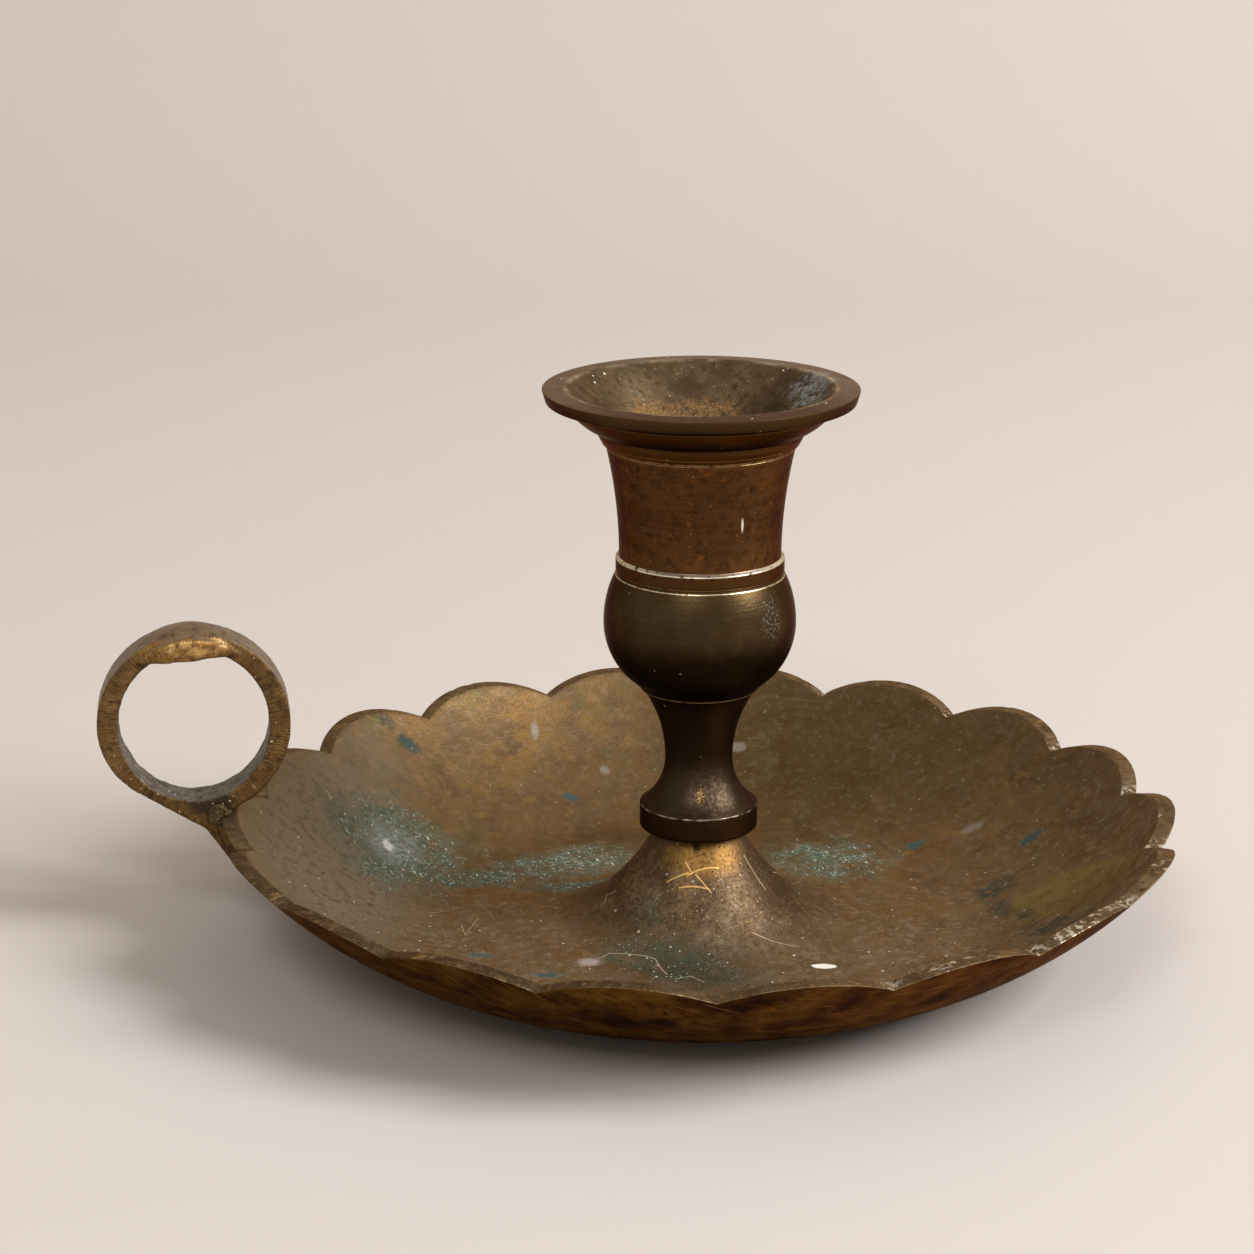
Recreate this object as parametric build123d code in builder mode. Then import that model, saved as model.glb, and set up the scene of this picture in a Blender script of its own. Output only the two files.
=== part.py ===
from build123d import *
from math import cos, hypot, pi, radians, sin, sqrt, tan
import os

# Chamberstick: a scalloped drip pan with a raised boss, a turned candle stem
# that stands on the boss, and a finger ring with a thumb rest on the rim.
# All sizes are millimetres. The table is the plane Z = 0, the stem stands on
# the Z axis, and the finger ring points along -X.

# Drip pan
pan_tip_radius = 77.5  # axis to the outside of the rim, at the middle of a scallop
pan_rim_height = 21.2  # table to the top of a scallop
pan_wall = 2.1  # thickness of the casting
pan_base_radius = 46.0  # outer edge of the flat ring that the pan rests on
rest_ring_radius = 38.0  # inner edge of that ring
base_recess = 0.4  # how far the underside inside the ring clears the table
bowl_radius = 67.0  # radius of the bowl's outer side, seen in section
floor_blend = 22.0  # rounding where the floor turns up into the bowl's side
scallop_count = 18
scallop_depth = 3.3  # top of a scallop to the bottom of the notch beside it

# Boss in the middle of the pan
boss_height = 18.0  # table to the seat of the stem
boss_seat_radius = 6.7
boss_waist_radius = 16.8
boss_waist_height = 5.2
boss_foot_radius = 25.2
boss_web = 3.0  # metal left between the stem's seat and the hollow below it

# Candle stem, from its foot up
foot_radius = 9.55
foot_height = 4.0
foot_chamfer = 0.35
neck_radius = 5.45
neck_waist_rise = 7.7  # foot disc to the thinnest place of the neck
neck_height = 19.5
neck_top_radius = 9.15
collar_radius = 9.5
collar_height = 0.35
bulb_height = 18.75
bulb_radius = 15.4
bulb_equator_rise = 10.7
bulb_shoulder_radius = 12.15
bulb_shoulder_rise = 2.35
bulb_top_radius = 13.5
groove_depth = 0.3
groove_height = 0.45
band_radius = 13.45
band_height = 2.2
band_bevel = 0.35
cup_root_radius = 12.9
cup_height = 17.6
cup_mouth_radius = 14.95
cup_flare = 0.5  # how far the cup's side is hollowed between its ends
line_depth = 0.3  # fine turned line between the cup and its moulding
line_height = 0.4
moulding_radius = 15.75
moulding_height = 0.7
cove_radius = 16.45
cove_height = 1.7
cove_hollow = 0.12
flare_root_radius = 16.7
flare_radius = 20.9
flare_height = 3.3
flare_hollow = 0.35
flange_step = 0.25
flange_root_radius = 21.2
flange_radius = 25.0
flange_slope_height = 1.0  # rise of the flange's underside from root to lip
lip_height = 1.9
lip_taper = 0.55
flange_fall = 0.2  # the top ring falls this much towards its outer edge
mouth_radius = 21.2
mouth_rounding = 0.8

# Candle socket inside the cup
socket_radius = 11.0
socket_length = 20.0
funnel_depth = 12.0
funnel_belly = 0.9

# Screw from below that holds the stem on the pan
screw_radius = 2.5
screw_reach = 12.0  # how far the screw goes into the stem
screw_head_radius = 4.6
screw_head_height = 3.4
screw_dome = 0.9
slot_width = 1.2
slot_depth = 1.6
washer_radius = 5.0
washer_height = 1.0
washer_room = 1.3  # free space round the washer inside the boss
hole_clearance = 0.25  # round the screw where it passes the pan and the washer
thread_clearance = 0.05  # round the screw inside the stem
thread_runout = 2.0  # tapped hole past the end of the screw

# Finger ring
ring_outer_radius = 15.4
finger_hole_width = 24.1
finger_hole_height = 25.2  # before the thumb rest closes its top
ring_width = 7.0
ring_reach = 3.8  # rim to the middle of the ring, along X before it is turned
ring_rise = 15.1  # rim to the middle of the ring, along Z
ring_turn = 7.0  # the ring stands a little askew, turned about an upright line through the rim
flat_distance = 14.2  # middle of the ring to the flat on its lower outer side
flat_angle = 238.0  # direction of that flat, from +X towards +Z
flat_blend = 13.0  # rounding between the ring's outer side and the flat
lug_heel_drop = 2.5  # rim to the outer corner where the lug leaves the ring's flat
lug_drop = 8.0  # rim to the lower end of the lug
lug_toe_width = 6.6  # thickness of the lug at its lower end, level
seat_clearance = 0.05  # between the lug and the pan's wall

# Thumb rest on top of the ring
thumb_angle = 93.5
thumb_flat = 11.2  # middle of the ring to the flat underside of the rest
thumb_crown = 16.25  # middle of the ring to the top of the rest
thumb_width = 9.8
thumb_length = 33.0  # length of the leaf shape that the rest is cut from
thumb_top_radius = 11.8  # curve of its top, seen from the side
thumb_droop = 1.9  # how far its long edges hang below the crown

# Braze between the ring and the rim
braze_radius = 1.9
braze_channel = 1.0  # hollow along the ring's foot that the braze fills
braze_proud = 0.6  # how far the braze stands out at each side of the ring
braze_rounding = 0.5

# Every cutting tool runs past the metal by this much
overrun = 2.0

os.makedirs("parts", exist_ok=True)


# Bowl side in section
# The side is one arc from the rest ring to the rim. The inside of the wall and
# the back of the handle's lug are arcs about the same centre.
side_run = pan_tip_radius - pan_base_radius
side_chord = hypot(side_run, pan_rim_height)
side_offset = sqrt(bowl_radius**2 - (side_chord / 2) ** 2)
bowl_centre_r = (pan_base_radius + pan_tip_radius) / 2 - side_offset * pan_rim_height / side_chord
bowl_centre_z = pan_rim_height / 2 + side_offset * side_run / side_chord
inner_bowl_radius = bowl_radius - pan_wall
blank_height = pan_rim_height + overrun


def side_reach(radius, height):
    """Distance from the Z axis to an arc about the bowl's centre, at a height."""
    return bowl_centre_r + sqrt(radius**2 - (height - bowl_centre_z) ** 2)


# Cutter for one scallop
# A block over one scallop's share of the rim, hollowed by an arch that lies
# along the radius, so the rim is level across its thickness.
half_pitch = pi / scallop_count
arch_half_width = pan_tip_radius * sin(half_pitch)
arch_radius = (arch_half_width**2 + scallop_depth**2) / (2 * scallop_depth)
cutter_start = side_reach(inner_bowl_radius, pan_rim_height / 2)
cutter_end = pan_tip_radius + 2 * overrun
cutter_bottom = pan_rim_height - scallop_depth - overrun / 2

with BuildPart() as scallop_cutter:
    with BuildSketch(Plane.XY.offset(cutter_bottom)):
        with BuildLine():
            Polyline(
                (cutter_start, -cutter_start * tan(half_pitch)),
                (cutter_end, -cutter_end * tan(half_pitch)),
                (cutter_end, cutter_end * tan(half_pitch)),
                (cutter_start, cutter_start * tan(half_pitch)),
                close=True,
            )
        make_face()
    extrude(amount=blank_height + overrun - cutter_bottom)
    with Locations((cutter_start - overrun, 0, pan_rim_height - arch_radius)):
        Cylinder(
            radius=arch_radius,
            height=cutter_end - cutter_start + 2 * overrun,
            rotation=(0, 90, 0),
            align=(Align.CENTER, Align.CENTER, Align.MIN),
            mode=Mode.SUBTRACT,
        )

# Drip pan
# One casting of even thickness: rim, bowl side, flat floor and hollow boss.
floor_end = side_reach(inner_bowl_radius, pan_wall)
hollow_height = boss_height - boss_web
hollow_top_radius = washer_radius + washer_room

with BuildPart() as drip_pan:
    with BuildSketch(Plane.XZ) as pan_section:
        with BuildLine():
            seat = Line((0, boss_height), (boss_seat_radius, boss_height))
            root = TangentArc(
                (boss_foot_radius, pan_wall), (boss_waist_radius, boss_waist_height), tangent=(-1, 0)
            )
            TangentArc(root @ 1, seat @ 1, tangent=root % 1)
            floor = Line((boss_foot_radius, pan_wall), (floor_end, pan_wall))
            inner_side = RadiusArc(
                floor @ 1,
                (side_reach(inner_bowl_radius, blank_height), blank_height),
                -inner_bowl_radius,
            )
            outer_side = RadiusArc(
                (pan_base_radius, 0), (side_reach(bowl_radius, blank_height), blank_height), -bowl_radius
            )
            Line(inner_side @ 1, outer_side @ 1)
            rest_ring = Line((pan_base_radius, 0), (rest_ring_radius, 0))
            recess = Line(rest_ring @ 1, (rest_ring_radius - base_recess, base_recess))
            recess_floor = Line(recess @ 1, (boss_foot_radius, base_recess))
            inward = (root % 1).rotate(Axis.Z, 90)
            hollow_root = TangentArc(recess_floor @ 1, root @ 1 + inward * pan_wall, tangent=(-1, 0))
            hollow_side = TangentArc(
                hollow_root @ 1, (hollow_top_radius, hollow_height), tangent=hollow_root % 1
            )
            web = Line(hollow_side @ 1, (0, hollow_height))
            Line(web @ 1, seat @ 0)
        make_face()
        fillet(pan_section.vertices().sort_by_distance((floor_end, pan_wall))[0], radius=floor_blend)
    revolve(axis=Axis.Z)
    with PolarLocations(0, scallop_count):
        add(scallop_cutter.part, mode=Mode.SUBTRACT)
    with Locations((0, 0, boss_height)):
        Hole(radius=screw_radius + hole_clearance, depth=boss_web + overrun)
drip_pan.part.label = "drip_pan"
export_step(drip_pan.part, "parts/drip_pan.step")

# Candle stem
# One turning. Its side is drawn from the foot up, each height added to the last.
foot_top = boss_height + foot_height
neck_waist = foot_top + neck_waist_rise
neck_top = foot_top + neck_height
collar_top = neck_top + collar_height
bulb_shoulder = collar_top + bulb_shoulder_rise
bulb_equator = collar_top + bulb_equator_rise
bulb_top = collar_top + bulb_height
band_bottom = bulb_top + groove_height
band_top = band_bottom + band_height
cup_bottom = band_top + band_bevel
cup_top = cup_bottom + cup_height
line_top = cup_top + line_height
moulding_top = line_top + moulding_height
cove_top = moulding_top + cove_height
flare_top = cove_top + flare_height
flange_root = flare_top + flange_step
lip_bottom = flange_root + flange_slope_height
lip_top = lip_bottom + lip_height
mouth_height = lip_top + flange_fall
funnel_bottom = mouth_height - funnel_depth
socket_bottom = funnel_bottom - socket_length

with BuildPart() as candle_stem:
    with BuildSketch(Plane.XZ) as stem_section:
        with BuildLine():
            foot = Polyline(
                (0, boss_height),
                (foot_radius - foot_chamfer, boss_height),
                (foot_radius, boss_height + foot_chamfer),
                (foot_radius, foot_top),
            )
            neck = TangentArc((neck_radius, neck_waist), foot @ 1, tangent=(0, -1))
            neck_flare = TangentArc(neck @ 0, (neck_top_radius, neck_top), tangent=(0, 1))
            collar = Polyline(
                neck_flare @ 1,
                (collar_radius, neck_top),
                (collar_radius, collar_top),
            )
            belly = TangentArc(
                (bulb_radius, bulb_equator), (bulb_shoulder_radius, bulb_shoulder), tangent=(0, -1)
            )
            Line(belly @ 1, collar @ 1)
            shoulder = TangentArc(belly @ 0, (bulb_top_radius, bulb_top), tangent=(0, 1))
            cup_foot = Polyline(
                shoulder @ 1,
                (band_radius - groove_depth, bulb_top),
                (band_radius - groove_depth, band_bottom),
                (band_radius, band_bottom),
                (band_radius, band_top),
                (cup_root_radius, cup_bottom),
            )
            cup_side = SagittaArc(cup_foot @ 1, (cup_mouth_radius, cup_top), cup_flare)
            turned_line = Polyline(
                cup_side @ 1,
                (cup_mouth_radius - line_depth, (cup_top + line_top) / 2),
                (cup_mouth_radius, line_top),
            )
            moulding = TangentArc(turned_line @ 1, (moulding_radius, moulding_top), tangent=(1, 0))
            cove = SagittaArc(moulding @ 1, (cove_radius, cove_top), -cove_hollow)
            Line(cove @ 1, (flare_root_radius, cove_top))
            flare = SagittaArc((flare_root_radius, cove_top), (flare_radius, flare_top), -flare_hollow)
            flange = Polyline(
                flare @ 1,
                (flange_root_radius, flare_top),
                (flange_root_radius, flange_root),
                (flange_radius - lip_taper, lip_bottom),
                (flange_radius, lip_top),
                (mouth_radius, mouth_height),
            )
            funnel = SagittaArc(flange @ 1, (socket_radius, funnel_bottom), -funnel_belly)
            Polyline(funnel @ 1, (socket_radius, socket_bottom), (0, socket_bottom), foot @ 0)
        make_face()
        fillet(
            stem_section.vertices().sort_by_distance((mouth_radius, mouth_height))[0],
            radius=mouth_rounding,
        )
    revolve(axis=Axis.Z)
    with Locations(Location((0, 0, boss_height), (180, 0, 0))):
        Hole(radius=screw_radius + thread_clearance, depth=screw_reach + thread_runout)
candle_stem.part.label = "candle_stem"
export_step(candle_stem.part, "parts/candle_stem.step")

# Washer and fixing screw, in the hollow of the boss
washer_bottom = hollow_height - washer_height
screw_top = boss_height + screw_reach
head_bottom = washer_bottom - screw_head_height

with BuildPart() as screw_washer:
    with BuildSketch(Plane.XY.offset(washer_bottom)):
        Circle(washer_radius)
        Circle(screw_radius + hole_clearance, mode=Mode.SUBTRACT)
    extrude(amount=washer_height)
screw_washer.part.label = "screw_washer"
export_step(screw_washer.part, "parts/screw_washer.step")

with BuildPart() as fixing_screw:
    with BuildSketch(Plane.XZ):
        with BuildLine():
            crown = SagittaArc(
                (screw_head_radius, head_bottom + screw_dome),
                (-screw_head_radius, head_bottom + screw_dome),
                -screw_dome,
            )
            Polyline(
                crown @ 0,
                (screw_head_radius, washer_bottom),
                (screw_radius, washer_bottom),
                (screw_radius, screw_top),
                (-screw_radius, screw_top),
                (-screw_radius, washer_bottom),
                (-screw_head_radius, washer_bottom),
                crown @ 1,
            )
        make_face()
        split(bisect_by=Plane.YZ)
    revolve(axis=Axis.Z)
    with BuildSketch(Plane.XY.offset(head_bottom - overrun)):
        Rectangle(slot_width, 2 * (screw_head_radius + overrun))
    extrude(amount=slot_depth + overrun, mode=Mode.SUBTRACT)
fixing_screw.part.label = "fixing_screw"
export_step(fixing_screw.part, "parts/fixing_screw.step")

# Finger ring
# A flat cast ring whose lower outer side runs straight down into a lug. The lug
# lies against the outside of the bowl, just below the rim. The thumb rest on
# top is a slice of a barrel, leaf shaped from above and flat underneath. The
# blank is turned a little askew before its back is fitted to the bowl.
ring_centre_x = -(pan_tip_radius + ring_reach)
ring_centre_z = pan_rim_height + ring_rise
ring_middle_radius = (ring_outer_radius + finger_hole_height / 2) / 2
flat_normal = Vector(1, 0).rotate(Axis.Z, flat_angle)
flat_along = Vector(0, 1).rotate(Axis.Z, flat_angle)
flat_middle = Vector(ring_centre_x, ring_centre_z) + flat_normal * flat_distance
heel_drop = flat_middle.Y - (pan_rim_height - lug_heel_drop)
heel = flat_middle - flat_along * (heel_drop / flat_along.Y)
toe_height = pan_rim_height - lug_drop
toe = Vector(-side_reach(bowl_radius, toe_height) - lug_toe_width, toe_height)
seat_radius = bowl_radius + seat_clearance
seat_top = pan_rim_height + seat_clearance
rim_line = Location((-pan_tip_radius, 0, 0))

ring_centre = Vector(ring_centre_x, 0, ring_centre_z)
thumb_up = Vector(cos(radians(thumb_angle)), 0, sin(radians(thumb_angle)))
thumb_along = Vector(sin(radians(thumb_angle)), 0, -cos(radians(thumb_angle)))
dome_centre = ring_centre + thumb_up * (thumb_crown - thumb_top_radius)
thumb_edge_height = thumb_top_radius - thumb_droop

with BuildPart() as thumb_rest:
    with BuildSketch(Plane(origin=dome_centre, x_dir=(0, 1, 0), z_dir=thumb_along)):
        with BuildLine():
            dome = ThreePointArc(
                (-thumb_width / 2, thumb_edge_height),
                (0, thumb_top_radius),
                (thumb_width / 2, thumb_edge_height),
            )
            Polyline(dome @ 1, (thumb_width / 2, 0), (-thumb_width / 2, 0), dome @ 0)
        make_face()
    revolve(axis=Axis(dome_centre, (0, 1, 0)))
    with BuildSketch(Plane(origin=ring_centre + thumb_up * thumb_flat, x_dir=thumb_along, z_dir=thumb_up)):
        with BuildLine():
            ThreePointArc((-thumb_length / 2, 0), (0, thumb_width / 2), (thumb_length / 2, 0))
            mirror(about=Plane.XZ)
        make_face()
    extrude(amount=thumb_crown, mode=Mode.INTERSECT)

with BuildPart() as ring_blank:
    with BuildSketch(Plane.XZ) as ring_side:
        with Locations((ring_centre_x, ring_centre_z)):
            Circle(ring_outer_radius)
        with Locations(Location((flat_middle.X, flat_middle.Y, 0), (0, 0, flat_angle))):
            Rectangle(
                ring_outer_radius,
                2 * ring_outer_radius,
                align=(Align.MIN, Align.CENTER),
                mode=Mode.SUBTRACT,
            )
        fillet(ring_side.vertices().sort_by(Axis.X)[0], radius=flat_blend)
        with BuildLine():
            Polyline(
                (ring_centre_x, ring_centre_z - ring_middle_radius),
                (flat_middle.X, flat_middle.Y),
                (heel.X, heel.Y),
                (toe.X, toe.Y),
                (-pan_base_radius, toe_height),
                (-pan_tip_radius, pan_rim_height),
                close=True,
            )
        make_face()
        with Locations((ring_centre_x, ring_centre_z)):
            Ellipse(finger_hole_width / 2, finger_hole_height / 2, mode=Mode.SUBTRACT)
    extrude(amount=ring_width / 2, both=True)
    add(thumb_rest.part)

with BuildPart() as bowl_room:
    with BuildSketch(Plane.XZ):
        with BuildLine():
            wall_side = RadiusArc(
                (side_reach(seat_radius, seat_top), seat_top),
                (side_reach(seat_radius, 0), 0),
                seat_radius,
            )
            Polyline(wall_side @ 1, (0, 0), (0, seat_top), wall_side @ 0)
        make_face()
    revolve(axis=Axis.Z)

with BuildPart() as finger_ring:
    with Locations(rim_line * Location((0, 0, 0), (0, 0, ring_turn)) * rim_line.inverse()):
        add(ring_blank.part)
    add(bowl_room.part, mode=Mode.SUBTRACT)
    with Locations(Location((-pan_tip_radius, 0, pan_rim_height), (90, 0, 0))):
        Cylinder(radius=braze_channel, height=ring_width + overrun, mode=Mode.SUBTRACT)
finger_ring.part.label = "finger_ring"
export_step(finger_ring.part, "parts/finger_ring.step")

# Braze
# Filler metal that ran along the corner of the rim, under the ring, and stands
# out at both sides.
with BuildPart() as braze_bead:
    with Locations(Location((-pan_tip_radius, 0, pan_rim_height), (90, 0, 0))):
        Cylinder(radius=braze_radius, height=ring_width + 2 * braze_proud)
    fillet(braze_bead.edges().filter_by(GeomType.CIRCLE), radius=braze_rounding)
    add(finger_ring.part, mode=Mode.SUBTRACT)
    add(drip_pan.part, mode=Mode.SUBTRACT)
braze_bead.part.label = "braze_bead"
export_step(braze_bead.part, "parts/braze_bead.step")
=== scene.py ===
# %% [markdown]
# # A brass chamberstick with a finger loop
# A chamberstick is a low candle holder that is carried to bed: a wide pan
# catches the wax, a turned stem holds the candle, and a ring takes one finger.
# This lesson dresses a measured CAD model of one. The model gives every size,
# and each step below adds what metal gains in a hundred years of use.

# %% Load the measured model
import math
import random

import bpy
import numpy as np
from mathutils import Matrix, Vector, noise


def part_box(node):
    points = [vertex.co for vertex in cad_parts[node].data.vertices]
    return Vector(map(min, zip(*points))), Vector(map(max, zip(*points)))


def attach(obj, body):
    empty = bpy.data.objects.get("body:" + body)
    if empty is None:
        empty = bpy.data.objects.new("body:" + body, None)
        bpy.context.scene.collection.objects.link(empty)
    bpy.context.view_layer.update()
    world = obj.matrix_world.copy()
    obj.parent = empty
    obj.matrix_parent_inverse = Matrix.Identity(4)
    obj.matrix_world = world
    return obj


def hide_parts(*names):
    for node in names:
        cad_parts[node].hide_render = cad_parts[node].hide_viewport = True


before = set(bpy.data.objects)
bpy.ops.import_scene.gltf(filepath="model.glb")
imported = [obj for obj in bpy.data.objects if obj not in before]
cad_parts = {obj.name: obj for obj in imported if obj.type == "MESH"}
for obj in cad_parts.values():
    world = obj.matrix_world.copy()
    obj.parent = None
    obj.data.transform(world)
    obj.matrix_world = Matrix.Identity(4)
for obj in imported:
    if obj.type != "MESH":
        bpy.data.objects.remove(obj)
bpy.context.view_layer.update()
MM = 0.001
print("pieces in the model:", ", ".join(sorted(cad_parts)))

# %% [markdown]
# ## Camera
# The photograph was taken from a little above the rim, about half a metre away.
# The camera stands where the ellipses of pan and cup get the same shape. It is
# made first, so that each later step can be rendered and compared.

# %% Place the camera
CAMERA_PLACE = Vector((-18.05, -498.7, 198.1)) * MM
CAMERA_TILT = 0.286
CAMERA_TURN = 0.0129
SENSOR_WIDTH = 36.0
LENS_LENGTH = 93.33

camera_data = bpy.data.cameras.new("camera")
camera_data.sensor_width = SENSOR_WIDTH
camera_data.lens = LENS_LENGTH
camera = bpy.data.objects.new("camera", camera_data)
camera.location = CAMERA_PLACE
camera.rotation_euler = (math.pi / 2 - CAMERA_TILT, 0, -CAMERA_TURN)
bpy.context.scene.collection.objects.link(camera)
bpy.context.scene.camera = camera
print("camera stands", round(CAMERA_PLACE.length / MM), "mm from the middle of the base")

# %% [markdown]
# ## Helpers for colours and nodes
# Blender mixes light in linear values, but colours are picked in sRGB, so one
# function turns a hex code into linear values. A second one links or fills the
# inputs of a node, and a third adds a shader node. Nodes and their sockets know
# the tree they stand in, so a new node needs only one of them as a neighbour.


# %% Colour and node helpers
def srgb(code):
    """Turn a hex colour such as "7A5A33" into linear red, green, blue and alpha."""
    parts = [int(code[i : i + 2], 16) / 255 for i in (0, 2, 4)]
    linear = [c / 12.92 if c <= 0.04045 else ((c + 0.055) / 1.055) ** 2.4 for c in parts]
    return (*linear, 1.0)


def feed(node, inputs):
    """Link or fill inputs by name or number; a node stands for its first output."""
    for name, value in inputs.items():
        if isinstance(value, bpy.types.Node):
            value = value.outputs[0]
        if isinstance(value, bpy.types.NodeSocket):
            node.id_data.links.new(value, node.inputs[name])
        else:
            node.inputs[name].default_value = value


def add_node(beside, kind, inputs=None, **settings):
    """Add a shader node to the tree of another node or socket, and set it up."""
    node = beside.id_data.nodes.new("ShaderNode" + kind)
    for name, value in settings.items():
        setattr(node, name, value)
    feed(node, inputs or {})
    return node


def new_material(name):
    """Start a material that holds one Principled shader, and return both."""
    material = bpy.data.materials.new(name)
    material.use_nodes = True
    material.node_tree.nodes.clear()
    shader = add_node(material.node_tree, "BsdfPrincipled")
    add_node(shader, "OutputMaterial", {"Surface": shader})
    return material, shader


print("brown in linear values:", [round(c, 3) for c in srgb("7A5A33")])

# %% [markdown]
# ## Floor and backdrop
# One sheet of pale paper makes both floor and wall. It takes the object's soft
# shadow, and its wide bend leaves no line where floor and wall meet.

# %% Make the paper sweep
FLOOR_COLOUR = "DAD1C7"
FLOOR_HALF = 3.0
SWEEP_START = 1.0
SWEEP_BEND = 0.45
BEND_SEGMENTS = 16
WALL_TOP = 2.5


def edit_far_edge(sheet):
    """Select the edge at the far end of the floor, and enter edit mode."""
    for vertex in sheet.data.vertices:
        vertex.select = abs(vertex.co.z) < MM and vertex.co.y > 0
    for edge in sheet.data.edges:
        edge.select = all(sheet.data.vertices[i].select for i in edge.vertices)
    for face in sheet.data.polygons:
        face.select = False
    bpy.ops.object.mode_set(mode="EDIT")
    bpy.ops.mesh.select_mode(type="EDGE")


bpy.ops.mesh.primitive_plane_add(size=2 * FLOOR_HALF, location=(0, SWEEP_START - FLOOR_HALF, 0))
sweep = bpy.context.active_object
sweep.name = "paper_sweep"
edit_far_edge(sweep)
bpy.ops.mesh.extrude_edges_move(TRANSFORM_OT_translate={"value": (0, 0, WALL_TOP)})
bpy.ops.object.mode_set(mode="OBJECT")
edit_far_edge(sweep)
bpy.ops.mesh.bevel(offset=SWEEP_BEND, segments=BEND_SEGMENTS)
bpy.ops.mesh.select_all(action="SELECT")
bpy.ops.mesh.faces_shade_smooth()
bpy.ops.mesh.select_mode(type="VERT")
bpy.ops.object.mode_set(mode="OBJECT")
material, shader = new_material("matt paper sweep")
feed(shader, {"Base Color": srgb(FLOOR_COLOUR), "Roughness": 0.9, "Specular IOR Level": 0.2})
sweep.data.materials.append(material)
print("paper sweep:", len(sweep.data.polygons), "faces")

# %% [markdown]
# ## Light
# The surroundings are pale for the camera and in reflections, but they light the
# object at a lower level, so that colours render about as they are written. A
# large soft lamp hangs on the right, as the window did, and a weaker one in
# front lights the near side.

# %% Light the stage
BACKDROP_COLOUR = "E4DCD4"
SKY_LIGHT = 0.42
SKY_SEEN = 0.8
LAMP_COLOUR = "F8F9FF"
LAMP_AIM = Vector((0, 0, 0.03))
LAMPS = (
    # name, place in metres, width in metres, power in watts
    ("window", Vector((1.30, -0.45, 1.05)), 0.80, 33.0),
    ("front", Vector((-0.35, -1.25, 1.25)), 0.60, 7.2),
)

world = bpy.data.worlds.new("studio")
world.use_nodes = True
bpy.context.scene.world = world
world.node_tree.nodes.clear()
rays = add_node(world.node_tree, "LightPath").outputs
seen = rays["Is Camera Ray"]
for name in ("Is Glossy Ray", "Is Transmission Ray"):
    seen = add_node(seen, "Math", {0: seen, 1: rays[name]}, operation="MAXIMUM")
levels = {"Value": seen, "To Min": SKY_LIGHT, "To Max": SKY_SEEN}
strength = add_node(seen, "MapRange", levels)
sky = add_node(seen, "Background", {"Color": srgb(BACKDROP_COLOUR), "Strength": strength})
add_node(sky, "OutputWorld", {"Surface": sky})

for name, place, width, power in LAMPS:
    lamp = bpy.data.lights.new(name, "AREA")
    lamp.shape = "SQUARE"
    lamp.size = width
    lamp.energy = power
    lamp.color = srgb(LAMP_COLOUR)[:3]
    holder = bpy.data.objects.new(name, lamp)
    holder.location = place
    holder.rotation_euler = (LAMP_AIM - place).to_track_quat("-Z", "Y").to_euler()
    bpy.context.scene.collection.objects.link(holder)

bpy.context.scene.view_settings.view_transform = "Standard"
print("lamps:", ", ".join(name for name, *_ in LAMPS))

# %% [markdown]
# ## Outlines from the model
# Stem and pan are round, so each can be drawn as one outline and spun. The
# outline is taken from the model itself: a copy is cut by the plane through the
# axis, which leaves only its section.

# %% Cut a section
WELD = 0.002 * MM


def select_only(piece):
    """Make one object the only selected one, and the active one."""
    bpy.ops.object.select_all(action="DESELECT")
    piece.select_set(True)
    bpy.context.view_layer.objects.active = piece


def edit(piece):
    """Enter edit mode on one object, with all of it selected."""
    select_only(piece)
    bpy.ops.object.mode_set(mode="EDIT")
    bpy.ops.mesh.select_all(action="SELECT")


def copy_of(node, name):
    """Copy a CAD node's mesh into a new object and weld its loose triangles."""
    piece = bpy.data.objects.new(name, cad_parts[node].data.copy())
    piece.data.materials.clear()
    bpy.context.scene.collection.objects.link(piece)
    select_only(piece)
    bpy.ops.mesh.customdata_custom_splitnormals_clear()
    edit(piece)
    bpy.ops.mesh.remove_doubles(threshold=WELD)
    bpy.ops.mesh.faces_shade_smooth()
    bpy.ops.object.mode_set(mode="OBJECT")
    return piece


def section_of(node):
    """Return the outline of a round node as (radius, height) points, in order."""
    piece = copy_of(node, "section")
    edit(piece)
    bpy.ops.mesh.bisect(
        plane_co=(0, 0, 0), plane_no=(0, 1, 0), clear_inner=True, clear_outer=True
    )
    bpy.ops.mesh.select_all(action="SELECT")
    bpy.ops.mesh.bisect(plane_co=(0, 0, 0), plane_no=(1, 0, 0), clear_inner=True)
    bpy.ops.object.mode_set(mode="OBJECT")
    links = {}
    for edge in piece.data.edges:
        a, b = edge.vertices
        links.setdefault(a, []).append(b)
        links.setdefault(b, []).append(a)
    ends = [v for v in links if len(links[v]) == 1]
    closed = not ends
    start = min(ends or links, key=lambda v: piece.data.vertices[v].co.z)
    order = [start]
    while True:
        after = [v for v in links[order[-1]] if v not in order[-2:]]
        if not after or after[0] == start:
            break
        order.append(after[0])
    points = [Vector((piece.data.vertices[v].co.x, piece.data.vertices[v].co.z)) for v in order]
    bpy.data.objects.remove(piece)
    return points, closed


stem_points, stem_closed = section_of("candle_stem")
pan_points, pan_closed = section_of("drip_pan")
print("section points: stem", len(stem_points), "and pan", len(pan_points))

# %% [markdown]
# ## Smooth curves again
# CAD gives round stretches as short straight runs. Where two runs meet at a
# small angle they belong to one curve, and the outline is redrawn through both
# without a kink. True corners stay. A long run beside a short one is a straight
# line that a curve leaves, so it alone gives the direction there.

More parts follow.
